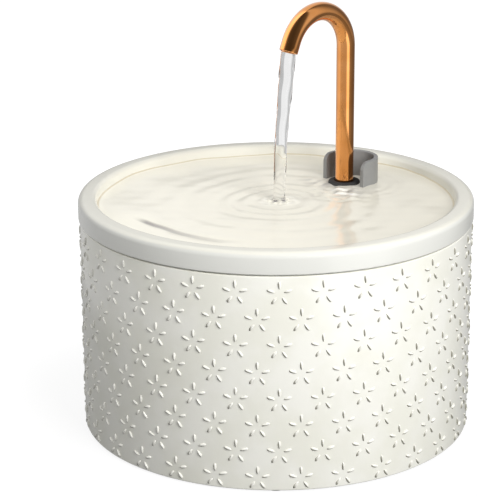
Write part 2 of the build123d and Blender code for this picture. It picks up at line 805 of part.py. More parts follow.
with BuildPart() as seal:
    with BuildSketch(facing_front(volute_back)):
        with Locations((0, axis_z)):
            Circle(seal_in_r + seal_w)
            Circle(seal_in_r, mode=Mode.SUBTRACT)
    extrude(amount=seal_t)
seal.part.label = "volute_seal"
export_step(seal.part, "parts/volute_seal.step")

with BuildPart() as dial:
    with BuildSketch(facing_front(dial_back)):
        with Locations((0, axis_z)):
            Circle(dial_r)
            with Locations((0, -dial_r)):
                RectangleRounded(dial_tab_w, 2 * dial_tab_h, dial_tab_r)
    extrude(amount=dial_t)
    extrude(dial_windows, amount=dial_t, mode=Mode.SUBTRACT)
    with BuildSketch(facing_front(dial_back)):
        with Locations((0, axis_z)):
            Circle(dial_pin_r + turn_gap)
    extrude(amount=dial_t, mode=Mode.SUBTRACT)
dial.part.label = "flow_dial"
export_step(dial.part, "parts/flow_dial.step")

# ---------------------------------------------------------------- rotor, shaft and bushes
plate_back = volute_back - plate_gap
blade_back = plate_back - back_plate_t
front_bush_back = volute_front - bush_seat + bush_len
blade_front = front_bush_back + blade_gap
rotor_bore_r = shaft_r + turn_gap
blade_tip = (impeller_r * blade_reach_ratio, impeller_r * blade_sweep_ratio)
blade_line = RadiusArc((stem_r, 0), blade_tip, impeller_r * blade_curve_ratio)
with BuildPart() as impeller:
    with BuildSketch(facing_front(plate_back)):
        with Locations((0, axis_z)):
            Circle(impeller_r)
    extrude(amount=plate_back - blade_back)
    with BuildSketch(facing_front(blade_back)):
        with Locations((0, axis_z)):
            Circle(stem_r)
            with PolarLocations(0, blade_count):
                SlotArc(blade_line, blade_t)
    extrude(amount=blade_back - blade_front)
    with BuildSketch(facing_front(magnet_back)):
        with Locations((0, axis_z)):
            Circle(stem_r)
    extrude(amount=magnet_back - plate_back)
    with BuildSketch(facing_front(magnet_back)):
        with Locations((0, axis_z)):
            Circle(rotor_bore_r)
    extrude(amount=magnet_back - blade_front, mode=Mode.SUBTRACT)
impeller.part.label = "impeller"
export_step(impeller.part, "parts/impeller.step")

with BuildPart() as magnet:
    with BuildSketch(facing_front(magnet_back)):
        with Locations((0, axis_z)):
            Circle(magnet_r)
            Circle(stem_r, mode=Mode.SUBTRACT)
    extrude(amount=magnet_len)
magnet.part.label = "rotor_magnet"
export_step(magnet.part, "parts/rotor_magnet.step")

shaft_back = well_end + bush_seat
shaft_front = volute_front - bush_seat
with BuildPart() as shaft:
    with BuildSketch(facing_front(shaft_back)):
        with Locations((0, axis_z)):
            Circle(shaft_r)
    extrude(amount=shaft_back - shaft_front)
shaft.part.label = "impeller_shaft"
export_step(shaft.part, "parts/impeller_shaft.step")

with BuildPart() as bushes:
    for bush_back in (shaft_back, front_bush_back):
        with BuildSketch(facing_front(bush_back)):
            with Locations((0, axis_z)):
                Circle(bush_r)
                Circle(shaft_r, mode=Mode.SUBTRACT)
        extrude(amount=bush_len)
bushes.part.label = "shaft_bushes"
export_step(bushes.part, "parts/shaft_bushes.step")

# ---------------------------------------------------------------- stator
core_back = motor_back - coil_end_gap - coil_build - turn_gap
leg_top = axis_z + magnet_r
leg_bottom = yoke_z - yoke_h / 2
with BuildPart() as core:
    with BuildSketch(facing_front(core_back)):
        with Locations((0, (leg_top + leg_bottom) / 2)):
            Rectangle(2 * core_out_x, leg_top - leg_bottom)
        with Locations((0, axis_z)):
            Circle(core_in_r, mode=Mode.SUBTRACT)
        with Locations((0, (leg_top + yoke_z + yoke_h / 2) / 2)):
            Rectangle(2 * (core_out_x - core_leg_w), leg_top - yoke_z - yoke_h / 2, mode=Mode.SUBTRACT)
    extrude(amount=core_t)
core.part.label = "stator_core"
export_step(core.part, "parts/stator_core.step")

coil_half_x = core_in_r - slide_gap
core_mid_y = core_back - core_t / 2
with BuildPart() as coil:
    with BuildSketch(Plane.YZ.offset(-coil_half_x)):
        with Locations((core_mid_y, yoke_z)):
            RectangleRounded(2 * coil_half_t, 2 * coil_half_h, coil_build)
            Rectangle(core_t + 2 * turn_gap, yoke_h + 2 * turn_gap, mode=Mode.SUBTRACT)
    extrude(amount=2 * coil_half_x)
coil.part.label = "stator_coil"
export_step(coil.part, "parts/stator_coil.step")

with BuildPart() as gland:
    with BuildSketch(Plane.XY.offset(pump_top)):
        with Locations((case_half_w / 2, motor_back - 2 * gland_r)):
            Circle(gland_r)
            Circle(cord_r, mode=Mode.SUBTRACT)
    extrude(amount=gland_h, taper=gland_taper)
gland.part.label = "cable_gland"
export_step(gland.part, "parts/cable_gland.step")

# ---------------------------------------------------------------- riser tube
with BuildPart() as riser:
    with BuildSketch(Plane.XY.offset(riser_z)):
        with Locations((0, spout_y)):
            Circle(riser_r)
            Circle(nozzle_r, mode=Mode.SUBTRACT)
    extrude(amount=riser_top - riser_z)
    with BuildSketch(Plane.XY.offset(riser_top)):
        with Locations((0, spout_y)):
            Circle(tip_r + slide_gap)
    extrude(amount=tip_z - riser_socket - riser_top, mode=Mode.SUBTRACT)
riser.part.label = "riser_tube"
export_step(riser.part, "parts/riser_tube.step")

# ---------------------------------------------------------------- water in the tray and from the spout
with BuildPart() as pool:
    with BuildSketch(Plane.XY.offset(shelf_z)):
        Circle(rim_in_r)
    extrude(amount=shelf_drop)
    with BuildSketch(Plane.XY.offset(shelf_z)):
        with Locations((0, spout_y)):
            Circle(collar_r)
    extrude(amount=shelf_drop, mode=Mode.SUBTRACT)
    add(tray.part, mode=Mode.SUBTRACT)
    add(shield.part, mode=Mode.SUBTRACT)
pool.part.label = "basin_water"
export_step(pool.part, "parts/basin_water.step")

outlet_y = bend_end[0] + outlet_run * bend_end_dir[0]
outlet_z = bend_end[1] + outlet_run * bend_end_dir[1]
back_up_tube = (0, -bend_end_dir[0], -bend_end_dir[1])
mouth = Plane(origin=(0, outlet_y, outlet_z), x_dir=(1, 0, 0), z_dir=back_up_tube)
with BuildPart() as stream:
    for height_share, reach_share, section_r in stream_sections:
        section_z = water_z + height_share * (outlet_z - water_z)
        section_y = landing_y + reach_share * (outlet_y - landing_y)
        with BuildSketch(Plane.XY.offset(section_z)):
            with Locations((0, section_y)):
                Circle(section_r)
    with BuildSketch(mouth):
        Circle(stream_mouth_r)
    with BuildSketch(mouth.offset(stream_overlap)):
        Circle(stream_mouth_r)
    loft()
stream.part.label = "water_stream"
export_step(stream.part, "parts/water_stream.step")
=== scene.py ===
"""Dresses the pet water fountain: glazed ceramic, a copper-coloured spout, its shield, the pump and the water.

The sizes of the classes are in millimetres, in the part's own frame: +Z up, -Y the front where the
water runs over the shelf, +Y the side where the spout stands. Blender's own units are metres.
"""

import logging
import math
from collections.abc import Callable, Sequence
from dataclasses import dataclass, field
from enum import Enum

import bmesh
import bpy
import numpy as np
from mathutils import Matrix, Vector


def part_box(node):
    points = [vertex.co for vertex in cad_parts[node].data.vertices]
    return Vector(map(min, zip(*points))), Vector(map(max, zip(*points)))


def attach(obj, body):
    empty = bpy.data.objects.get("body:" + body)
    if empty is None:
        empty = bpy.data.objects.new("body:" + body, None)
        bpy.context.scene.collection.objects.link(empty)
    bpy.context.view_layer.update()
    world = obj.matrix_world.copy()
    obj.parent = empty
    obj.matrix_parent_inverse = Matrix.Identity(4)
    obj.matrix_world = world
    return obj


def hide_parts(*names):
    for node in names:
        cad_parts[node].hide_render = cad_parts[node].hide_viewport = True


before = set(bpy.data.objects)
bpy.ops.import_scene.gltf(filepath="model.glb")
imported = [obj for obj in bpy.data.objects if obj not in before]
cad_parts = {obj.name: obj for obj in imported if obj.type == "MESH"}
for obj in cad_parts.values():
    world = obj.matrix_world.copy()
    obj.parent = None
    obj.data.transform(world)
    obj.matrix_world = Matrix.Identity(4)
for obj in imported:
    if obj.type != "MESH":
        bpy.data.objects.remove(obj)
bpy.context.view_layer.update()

MM = 0.001
TURN = 2 * math.pi
log = logging.getLogger("fountain")

Point = tuple[float, float, float]
Flat = tuple[float, float]
Colour = tuple[float, float, float, float]


# ---------------------------------------------------------------- node graphs
def _operator(operation: str, flipped: bool = False) -> Callable[..., "Value"]:
    """Makes a Python operator that adds one Math node.

    Args:
        operation: The node's operation.
        flipped: Whether the other term comes first.
    Returns:
        The operator's method.
    """

    def apply(self: "Value", *others: "Value | float") -> "Value":
        """The node's result."""
        terms = (*others, self) if flipped else (self, *others)
        return self.graph.node("ShaderNodeMath", {"operation": operation}, dict(enumerate(terms)))

    return apply


class Value:
    """A node's output that Python's operators join with Math nodes."""

    __add__ = __radd__ = _operator("ADD")
    __sub__ = _operator("SUBTRACT")
    __rsub__ = _operator("SUBTRACT", flipped=True)
    __mul__ = __rmul__ = _operator("MULTIPLY")
    __truediv__ = _operator("DIVIDE")
    __rtruediv__ = _operator("DIVIDE", flipped=True)
    __pow__ = _operator("POWER")
    __rpow__ = _operator("POWER", flipped=True)
    __mod__ = _operator("MODULO")
    __rmod__ = _operator("MODULO", flipped=True)
    floor = _operator("FLOOR")
    sine = _operator("SINE")
    cosine = _operator("COSINE")
    turn_from = _operator("ARCTAN2")

    def __init__(self, graph: "Graph", socket: bpy.types.NodeSocket) -> None:
        """Keeps the graph and the output that stands for the value."""
        self.graph = graph
        self.socket = socket

    def output(self, name: str | int) -> "Value":
        """Another output of the same node."""
        return Value(self.graph, self.socket.node.outputs[name])

    def clamped(self) -> "Value":
        """This value held between 0 and 1."""
        return self.graph.node("ShaderNodeMath", {"operation": "ADD", "use_clamp": True}, {0: self, 1: 0.0})

    def rising(self, low: float, high: float) -> "Value":
        """0 below one value, 1 above another, and smooth between them."""
        settings = {"interpolation_type": "SMOOTHSTEP"}
        return self.graph.node("ShaderNodeMapRange", settings, {0: self, 1: low, 2: high})


Input = Value | float | int | Sequence[float] | bpy.types.Material


class Graph:
    """A node tree, and the one method that adds nodes to it."""

    def __init__(self, tree: bpy.types.NodeTree) -> None:
        """Starts the tree empty."""
        self.tree = tree
        tree.nodes.clear()

    @classmethod
    def of(cls, owner: bpy.types.Material | bpy.types.World) -> "Graph":
        """The node tree of a material or a world."""
        owner.use_nodes = True
        return cls(owner.node_tree)

    def node(
        self,
        kind: str,
        settings: dict[str, object] | None = None,
        inputs: dict[int | str, Input] | None = None,
        output: int | str = 0,
    ) -> Value:
        """Adds one node.

        Args:
            kind: The node's type.
            settings: Its settings, a colour ramp's stops among them, which are set first.
            inputs: The values or links of its sockets.
            output: The output that the returned value stands for.
        Returns:
            The chosen output.
        """
        made = self.tree.nodes.new(kind)
        for key, value in (settings or {}).items():
            if key == "stops":
                self._set_stops(made, value)
            else:
                setattr(made, key, value)
        for key, value in (inputs or {}).items():
            if isinstance(value, Value):
                self.tree.links.new(value.socket, made.inputs[key])
            else:
                made.inputs[key].default_value = value
        return Value(self, made.outputs[output] if made.outputs else made.inputs[0])

    @staticmethod
    def _set_stops(ramp: bpy.types.Node, stops: Sequence[tuple[float, Colour]]) -> None:
        """Gives a colour ramp its stops.

        Args:
            ramp: The ramp's node.
            stops: The place and the colour of each stop, in order.
        """
        elements = ramp.color_ramp.elements
        for element, (place, colour) in ((elements[0], stops[0]), (elements[-1], stops[-1])):
            element.position = place
            element.color = colour
        for place, colour in stops[1:-1]:
            elements.new(place).color = colour

    def vector(self, operation: str, *terms: Input, output: int | str = 0) -> Value:
        """The result of one Vector Math node."""
        return self.node("ShaderNodeVectorMath", {"operation": operation}, dict(enumerate(terms)), output)

    def parts(self, vector: Value) -> Value:
        """A vector's parts, as the outputs of one node."""
        return self.node("ShaderNodeSeparateXYZ", None, {0: vector})

    def joined(self, *parts: Value | float) -> Value:
        """A vector from its parts."""
        return self.node("ShaderNodeCombineXYZ", None, dict(enumerate(parts)))

    def place(self) -> Value:
        """The surface point in the object's own frame, in millimetres."""
        point = self.node("ShaderNodeTexCoord", output="Object")
        return self.node("ShaderNodeVectorMath", {"operation": "SCALE"}, {0: point, "Scale": 1 / MM})

    def along(self, way: Sequence[float], place: Value | None = None) -> Value:
        """How far a point lies along a direction, in millimetres."""
        return self.vector("DOT_PRODUCT", place or self.place(), way, output="Value")

    def radius(self) -> Value:
        """The distance from the upright axis, in millimetres."""
        return self.vector("LENGTH", self.vector("MULTIPLY", self.place(), (1, 1, 0)), output="Value")

    def noise(self, size: float, detail: float = 2.0, stretch: Point = (1, 1, 1)) -> Value:
        """Makes soft noise.

        Args:
            size: The width of its features in millimetres.
            detail: How many finer layers it has.
            stretch: How much tighter it is along each axis.
        Returns:
            A number round 0.5.
        """
        place = self.vector("MULTIPLY", self.place(), stretch)
        return self.node("ShaderNodeTexNoise", None, {"Vector": place, "Scale": 1 / size, "Detail": detail})

    def cells(self, size: float) -> Value:
        """The distance from the middles of packed cells, whose size is in millimetres."""
        inputs = {"Vector": self.place(), "Scale": 1 / size}
        return self.node("ShaderNodeTexVoronoi", {"feature": "F1"}, inputs, "Distance")

    def attribute(self, name: str) -> Value:
        """A number that the mesh keeps at each point."""
        return self.node("ShaderNodeAttribute", {"attribute_name": name}, output="Fac")

    def mix(self, factor: Value, low: Colour | Value, high: Colour | Value) -> Value:
        """One colour where the factor is 0 and another where it is 1."""
        return self.node("ShaderNodeMix", {"data_type": "RGBA"}, {0: factor, 6: low, 7: high}, output=2)

    def bump(self, height: Value, depth: float) -> Value:
        """A normal that follows a height from 0 to 1, whose depth is in millimetres."""
        return self.node("ShaderNodeBump", None, {"Height": height, "Distance": depth * MM, "Strength": 1.0})

    def finish(self, shader: Value, kind: str = "ShaderNodeOutputMaterial") -> None:
        """Ends the tree in a shader."""
        self.node(kind, None, {"Surface": shader})


def tone(red: float, green: float, blue: float) -> Colour:
    """A colour in linear light, from its values on a screen.

    Args:
        red: The red value, from 0 to 255.
        green: The green value.
        blue: The blue value.
    Returns:
        The colour.
    """
    shares = [value / 255 for value in (red, green, blue)]
    return (*(s / 12.92 if s <= 0.04045 else ((s + 0.055) / 1.055) ** 2.4 for s in shares), 1.0)


def scaled(colour: Colour, factor: float, lift: float = 0.0) -> Colour:
    """A colour made darker or paler."""
    return (*(channel * factor + lift for channel in colour[:3]), 1.0)


# ---------------------------------------------------------------- finishes
@dataclass(frozen=True)
class Finish:
    """A finish: what one material looks like."""

    name: str = "finish"

    def shade(self, graph: Graph) -> dict[int | str, Input]:
        """The inputs of the shader that carries the finish.

        Args:
            graph: The material's graph.
        Returns:
            Each input under its socket's name.
        """
        raise NotImplementedError

    def surface(self, graph: Graph) -> Value:
        """The shader that the material ends in.

        Args:
            graph: The material's graph.
        Returns:
            The shader.
        """
        return graph.node("ShaderNodeBsdfPrincipled", None, self.shade(graph), "BSDF")

    def material(self) -> bpy.types.Material:
        """The finish as a material, made the first time it is asked for."""
        made = bpy.data.materials.get(self.name)
        if made is None:
            made = bpy.data.materials.new(self.name)
            graph = Graph.of(made)
            graph.finish(self.surface(graph))
        return made


@dataclass(frozen=True)
class Glaze(Finish):
    """Glossy creamy glaze over white clay, slightly uneven in colour and thickness."""

    name: str = "ceramic_glaze"
    thick: Colour = tone(238, 237, 226)
    thin: Colour = tone(244, 243, 235)

    def colour(self, graph: Graph, drift: Value) -> Value:
        """Even cream with a faint drift of tone.

        Args:
            graph: The material's graph.
            drift: Soft noise round 0.5.
        Returns:
            The colour.
        """
        return graph.mix(drift.rising(0.35, 0.65), self.thick, self.thin)

    def shade(self, graph: Graph) -> dict[int | str, Input]:
        """A glossy surface that waves a little.

        Args:
            graph: The material's graph.
        Returns:
            The shader's inputs.
        """
        drift = graph.noise(26, 3)
        waves = graph.noise(7, 1) * 0.7 + graph.noise(1.6, 2) * 0.3
        return {
            "Base Color": self.colour(graph, drift),
            "Roughness": 0.16 + drift * 0.06,
            "Normal": graph.bump(waves, 0.05),
            "IOR": 1.52,
        }


@dataclass(frozen=True)
class PetalGlaze(Glaze):
    """The same glaze on raised petals, with painted shade: grey on the flanks that face one way round the bowl
    and downwards.
    """

    name: str = "petal_glaze"
    # painted shade on the petals' flanks; aside and below weigh the turn round the bowl and the turn downwards
    painted_shade: Colour = tone(150, 148, 135)
    aside: float = 0.8
    below: float = 0.6

    def colour(self, graph: Graph, drift: Value) -> Value:
        """Painted shade: grey on the flanks that face one way round the bowl and downwards, and as pale as the
        wall elsewhere.

        Args:
            graph: The material's graph.
            drift: Soft noise round 0.5.
        Returns:
            The colour.
        """
        place = graph.parts(graph.place())
        facing = graph.parts(graph.node("ShaderNodeTexCoord", output="Normal"))
        turned = (place.output(1) * facing.output(0) - place.output(0) * facing.output(1)) / graph.radius()
        # painted shade: the more a flank faces one way round the bowl and downwards, the greyer it is
        lean = turned * self.aside - facing.output(2) * self.below
        return graph.mix(lean.rising(-0.15, 0.45), self.thin, self.painted_shade)


@dataclass(frozen=True)
class TrayGlaze(Glaze):
    """The same glaze on the tray, with painted shade that makes its rim and the face of its band a shade greyer.
    """

    name: str = "tray_glaze"
    band: Colour = tone(225, 225, 219)
    rim: Colour = tone(234, 232, 221)
    band_r: float = 105.0
    rim_in_r: float = 91.0

    def colour(self, graph: Graph, drift: Value) -> Value:
        """Painted shade: grey on the band's outer face, and a little of it on the rim.

        Args:
            graph: The material's graph.
            drift: Soft noise round 0.5.
        Returns:
            The colour.
        """
        # painted shade on the band's outer face and on the rim
        outer = graph.radius().rising(self.band_r - 1.2, self.band_r - 0.3)
        inner = graph.radius().rising(self.rim_in_r, self.rim_in_r + 2.0)
        return graph.mix(outer, graph.mix(inner, self.thin, self.rim), self.band)


@dataclass(frozen=True)
class CopperCoat(Finish):
    """A polished steel tube with a copper-coloured coating."""

    name: str = "copper_coat"
    light: Colour = tone(236, 160, 88)
    dark_tone: Colour = tone(226, 148, 72)

    def shade(self, graph: Graph) -> dict[int | str, Input]:
        """Warm metal with a faint drift and the fine lines that polishing leaves along the tube.

        Args:
            graph: The material's graph.
        Returns:
            The shader's inputs.
        """
        drift = graph.noise(14, 2)
        lines = graph.noise(1.0, 3, (2.2, 0.9, 0.12))
        return {
            "Base Color": graph.mix(drift.rising(0.3, 0.7), self.dark_tone, self.light),
            "Metallic": 1.0,
            "Roughness": 0.06 + lines * 0.08,
            "Normal": graph.bump(lines, 0.006),
            "Coat Weight": 0.7,
            "Coat Roughness": 0.08,
        }


@dataclass(frozen=True)
class Moulded(Finish):
    """Moulded plastic or rubber with a fine grain from its mould."""

    colour: Colour = (0.5, 0.5, 0.5, 1.0)
    roughness: float = 0.4
    grain: float = 0.6
    depth: float = 0.02
    sheer: float = 0.0
    shine: float = 0.5

    def shade(self, graph: Graph) -> dict[int | str, Input]:
        """One colour with a slight drift, and the mould's grain.

        Args:
            graph: The material's graph.
        Returns:
            The shader's inputs.
        """
        drift = graph.noise(18, 2).rising(0.3, 0.7)
        grain = graph.noise(self.grain, 3)
        return {
            "Base Color": graph.mix(drift, self.colour, scaled(self.colour, 1.08, 0.004)),
            "Roughness": self.roughness - 0.05 + grain * 0.1,
            "Normal": graph.bump(grain, self.depth),
            "Alpha": 1.0 - self.sheer,
            "Specular IOR Level": self.shine,
        }


@dataclass(frozen=True)
class Granules(Finish):
    """Grains packed together, such as carbon or sintered ferrite."""

    dark: Colour = (0.012, 0.012, 0.013, 1.0)
    pale: Colour = (0.06, 0.06, 0.062, 1.0)
    size: float = 1.6
    depth: float = 0.5
    roughness: float = 0.7

    def shade(self, graph: Graph) -> dict[int | str, Input]:
        """Cells of slightly different tone with gaps between them.

        Args:
            graph: The material's graph.
        Returns:
            The shader's inputs.
        """
        tint = graph.noise(self.size * 2, 2)
        return {
            "Base Color": graph.mix(tint.rising(0.4, 0.6), self.dark, self.pale),
            "Roughness": self.roughness,
            "Normal": graph.bump(1.0 - graph.cells(self.size), self.depth),
        }


@dataclass(frozen=True)
class Foam(Finish):
    """Open-cell foam or a mat of fibres."""

    dark: Colour = tone(30, 31, 34)
    pale: Colour = tone(58, 59, 62)
    size: float = 1.3
    depth: float = 0.6

    def shade(self, graph: Graph) -> dict[int | str, Input]:
        """Pores darker than the struts between them, as painted shade in the hollows.

        Args:
            graph: The material's graph.
        Returns:
            The shader's inputs.
        """
        height = graph.cells(self.size) * 0.7 + graph.noise(self.size * 0.4, 3) * 0.3
        return {
            # painted shade: the low parts of the height, the pores, are darker
            "Base Color": graph.mix(height.rising(0.2, 0.6), self.dark, self.pale),
            "Roughness": 0.9,
            "Normal": graph.bump(height, self.depth),
        }


@dataclass(frozen=True)
class Machined(Finish):
    """Ground, laminated or wound metal, with lines that run across one axis."""

    colour: Colour = tone(190, 190, 192)
    pitch: float = 0.5
    way: Point = (0.0, 1.0, 0.0)
    roughness: float = 0.3
    depth: float = 0.05

    def shade(self, graph: Graph) -> dict[int | str, Input]:
        """Even lines, with painted shade that makes the groove between them slightly darker.

        Args:
            graph: The material's graph.
        Returns:
            The shader's inputs.
        """
        ridge = (graph.along(self.way) * (TURN / self.pitch)).sine() * 0.5 + 0.5
        return {
            # painted shade: the grooves are darker
            "Base Color": graph.mix(ridge.rising(0.0, 0.5), scaled(self.colour, 0.55), self.colour),
            "Metallic": 1.0,
            "Roughness": self.roughness + graph.noise(3, 2) * 0.1,
            "Normal": graph.bump(ridge, self.depth),
        }


@dataclass(frozen=True)
class StillWater(Finish):
    """The pool's surface: full of fine bubbles, a mirror at a low angle, white where it foams, with painted
    light, painted shade and painted reflection in its colour.
    """

    name: str = "pool_water"
    body: float = 0.7
    gloss: float = 0.45
    # painted light: the pool's colour glows at this strength, though it is no lamp
    glow: float = 0.3
    # painted shade: the pool's colour goes from a lit side to a shaded side across it
    lit_side: Colour = tone(248, 245, 234)
    shaded_side: Colour = tone(229, 225, 212)
    shaded_way: float = math.radians(46)
    span: float = 85.0
    froth: Colour = tone(252, 252, 250)
    # the grey of the painted shade and painted reflection on the pool
    dark_tone: Colour = tone(120, 116, 124)
    line: Colour = tone(204, 190, 160)
    edge_r: float = 94.5

    def shade(self, graph: Graph) -> dict[int | str, Input]:
        """A pale body with a mirror on it as strong as water's own gloss, and a painted glow; foam, painted
        shade and painted reflection are read from the mesh.

        Args:
            graph: The material's graph.
        Returns:
            The shader's inputs.
        """
        foam = graph.attribute("foam")
        # the depth attribute holds painted shade and painted reflection, not the water's depth
        depth = graph.attribute("depth")
        ripple = graph.bump(graph.noise(6, 2), 0.04)
        gloss = graph.node("ShaderNodeFresnel", None, {"IOR": 1.33, "Normal": ripple}) * self.gloss
        cover = (gloss + foam * 0.6 + self.body).clamped()
        across = graph.along((math.cos(self.shaded_way), math.sin(self.shaded_way), 0))
        edge = graph.radius().rising(self.edge_r - 1.1, self.edge_r - 0.1) * 0.75
        # painted shade: greyer towards one side of the pool
        side_shaded = graph.mix(across.rising(-self.span, self.span), self.lit_side, self.shaded_side)
        clear = graph.mix(edge, side_shaded, self.line)
        # painted shade and painted reflection: grey where the depth attribute is high
        still = graph.mix(depth.clamped(), clear, self.dark_tone)
        colour = graph.mix(foam.clamped(), still, self.froth)
        return {
            "Base Color": colour,
            "Metallic": (gloss / cover).clamped(),
            "Roughness": 0.12 + foam * 0.4,
            "Alpha": cover,
            # painted light: the pool glows in its own colour
            "Emission Color": colour,
            "Emission Strength": self.glow,
            "Specular IOR Level": 0.2,
            "Normal": ripple,
        }


@dataclass(frozen=True)
class FallingWater(Finish):
    """Clear water in a closed form, which bends the light."""

    name: str = "falling_water"

    def shade(self, graph: Graph) -> dict[int | str, Input]:
        """Clear, with a skin that is a little uneven.

        Args:
            graph: The material's graph.
        Returns:
            The shader's inputs.
        """
        return {
            "Base Color": (1.0, 1.0, 1.0, 1.0),
            "Roughness": 0.02,
            "IOR": 1.33,
            "Transmission Weight": 1.0,
            "Normal": graph.bump(graph.noise(2.2, 1, (1, 1, 0.25)), 0.03),
        }


class Stock(Enum):
    """The finishes that whole nodes take, by what they are made of."""

    CERAMIC = Glaze()
    COPPER = CopperCoat()
    SHIELD = Moulded("shield_plastic", tone(135, 135, 134), 0.42)
    RUBBER = Moulded("black_rubber", tone(15, 15, 16), 0.6, 0.9, 0.04, 0.0, 0.15)
    SILICONE = Moulded("clear_silicone", tone(214, 216, 212), 0.35, 2.0, 0.02, 0.25)
    CASE = Moulded("case_plastic", tone(224, 224, 222), 0.4)
    WHITE = Moulded("white_plastic", tone(238, 238, 238), 0.25, 1.2, 0.01)
    PUMP = Moulded("pump_plastic", tone(38, 38, 40), 0.42)
    CARBON = Granules("carbon")
    FERRITE = Granules("ferrite", tone(48, 48, 50), tone(74, 74, 77), 0.5, 0.02, 0.45)
    COTTON = Foam("cotton_mat", tone(222, 222, 218), tone(240, 240, 237), 0.8, 0.25)
    SPONGE = Foam("foam_sponge")
    STEEL = Machined("ground_steel", tone(205, 205, 208), 0.2, (0, 1, 0), 0.2, 0.004)
    CORE = Machined("core_laminations", tone(140, 141, 145), 0.5, (0, 1, 0), 0.4, 0.06)
    WINDING = Machined("enamelled_winding", tone(176, 92, 44), 0.4, (1, 0, 0), 0.3, 0.1)
    POOL = StillWater()
    STREAM = FallingWater()

    def material(self) -> bpy.types.Material:
        """The finish as a material."""
        return self.value.material()


# ---------------------------------------------------------------- meshes
def rounded(corners: Sequence[tuple[float, ...]], steps: int = 6) -> list[Flat]:
    """Rounds the corners of a closed outline.

    Args:
        corners: Each corner as two coordinates and, where it is rounded, a radius.
        steps: How many runs each rounding has.
    Returns:
        The outline's points.
    """
    made: list[Flat] = []
    for index, corner in enumerate(corners):
        here = np.array(corner[:2], float)
        if len(corner) < 3:
            made.append((here[0], here[1]))
            continue
        before = np.array(corners[index - 1][:2], float) - here
        after = np.array(corners[(index + 1) % len(corners)][:2], float) - here
        before /= np.linalg.norm(before)
        after /= np.linalg.norm(after)
        half = math.acos(max(-1.0, min(1.0, float(before @ after)))) / 2
        middle = here + (before + after) / np.linalg.norm(before + after) * corner[2] / math.sin(half)
        reach = corner[2] / math.tan(half)
        start = here + before * reach - middle
        end = here + after * reach - middle
        sweep = math.atan2(start[0] * end[1] - start[1] * end[0], float(start @ end))
        for step in range(steps + 1):
            cosine, sine = math.cos(sweep * step / steps), math.sin(sweep * step / steps)
            point = middle + np.array([[cosine, -sine], [sine, cosine]]) @ start
            made.append((point[0], point[1]))
    return made


class Form:
    """Points and faces in millimetres that become one object."""

    def __init__(self) -> None:
        """Starts empty."""
        self.points: list[Sequence[float]] = []
        self.faces: list[Sequence[int]] = []

    def lathe(self, outline: Sequence[Flat], segments: int = 128, centre: Flat = (0, 0)) -> "Form":
        """Turns a closed outline round an upright axis.

        Args:
            outline: Radius and height of each point; a point on the axis has radius 0.
            segments: How many runs go round.
            centre: Where the axis stands.
        Returns:
            This form.
        """
        rings: list[list[int]] = []
        for radius, height in outline:
            first = len(self.points)
            if radius < 1e-6:
                self.points.append((*centre, height))
                rings.append([first] * segments)
                continue
            for index in range(segments):
                angle = TURN * index / segments
                x, y = centre[0] + radius * math.cos(angle), centre[1] + radius * math.sin(angle)
                self.points.append((x, y, height))
            rings.append(list(range(first, first + segments)))
        for low, high in zip(rings, rings[1:] + rings[:1], strict=True):
            if low[0] == low[1] and high[0] == high[1]:
                continue
            for index in range(segments):
                after = (index + 1) % segments
                kept = list(dict.fromkeys((low[index], low[after], high[after], high[index])))
                if len(kept) > 2:
                    self.faces.append(kept)
        return self

    def prism(self, outline: Sequence[Flat], low: float, high: float) -> "Form":
        """A flat outline with straight sides.

        Args:
            outline: Its points seen from above, anticlockwise.
            low: The height of its underside.
            high: The height of its top.
        Returns:
            This form.
        """
        first = len(self.points)
        count = len(outline)
        self.points += [(x, y, height) for height in (low, high) for x, y in outline]
        self.faces.append([first + index for index in reversed(range(count))])
        self.faces.append([first + count + index for index in range(count)])
        for index in range(count):
            after = (index + 1) % count
            self.faces.append([first + index, first + after, first + count + after, first + count + index])
        return self

    def sleeve(self, rings: Sequence[np.ndarray], closed: bool = False) -> "Form":
        """Skins rings of points in order.

        Args:
            rings: Arrays of points, each with the same count.
            closed: Whether the last ring joins the first; otherwise both ends are capped.
        Returns:
            This form.
        """
        count = len(rings[0])
        first = len(self.points)
        for ring in rings:
            self.points += [tuple(point) for point in ring]
        for row in range(len(rings) if closed else len(rings) - 1):
            low = first + row * count
            high = first + (row + 1) % len(rings) * count
            for index in range(count):
                after = (index + 1) % count
                self.faces.append([low + index, low + after, high + after, high + index])
        if not closed:
            for row, order in ((0, -1), (len(rings) - 1, 1)):
                self.faces.append([first + row * count + index for index in range(count)][::order])
        return self

    def mesh(self, name: str) -> bpy.types.Mesh:
        """The form as a mesh in metres with its faces outwards.

        Args:
            name: The mesh's name.
        Returns:
            The mesh.
        """
        made = bpy.data.meshes.new(name)
        made.from_pydata([tuple(np.array(point) * MM) for point in self.points], [], self.faces)
        work = bmesh.new()
        work.from_mesh(made)
        bmesh.ops.remove_doubles(work, verts=work.verts, dist=1e-7)
        bmesh.ops.recalc_face_normals(work, faces=work.faces)
        work.to_mesh(made)
        work.free()
        return made

    def piece(self, name: str, finish: Stock | Finish, crease: float = 40) -> "Piece":
        """The form as a piece of the fountain."""
        return Piece(name, self.mesh(name), finish, crease)


def result(shown: bpy.types.Object, modifier: bpy.types.Modifier) -> bpy.types.Mesh:
    """What a modifier makes of an object, with the modifier removed.

    Args:
        shown: The object.
        modifier: Its one modifier.
    Returns:
        A plain mesh.
    """
    bpy.context.view_layer.update()
    made = bpy.data.meshes.new_from_object(shown.evaluated_get(bpy.context.evaluated_depsgraph_get()))
    shown.modifiers.remove(modifier)
    return made


def discard(piece: bpy.types.Object) -> None:
    """Removes an object and its mesh.

    Args:
        piece: The object.
    """
    mesh = piece.data
    bpy.data.objects.remove(piece)
    bpy.data.meshes.remove(mesh)


def added(name: str, data: bpy.types.ID) -> bpy.types.Object:
    """Puts a new object in the scene.

    Args:
        name: The object's name.
        data: What it shows: a mesh, a lamp or a camera.
    Returns:
        The object.
    """
    made = bpy.data.objects.new(name, data)
    bpy.context.scene.collection.objects.link(made)
    return made


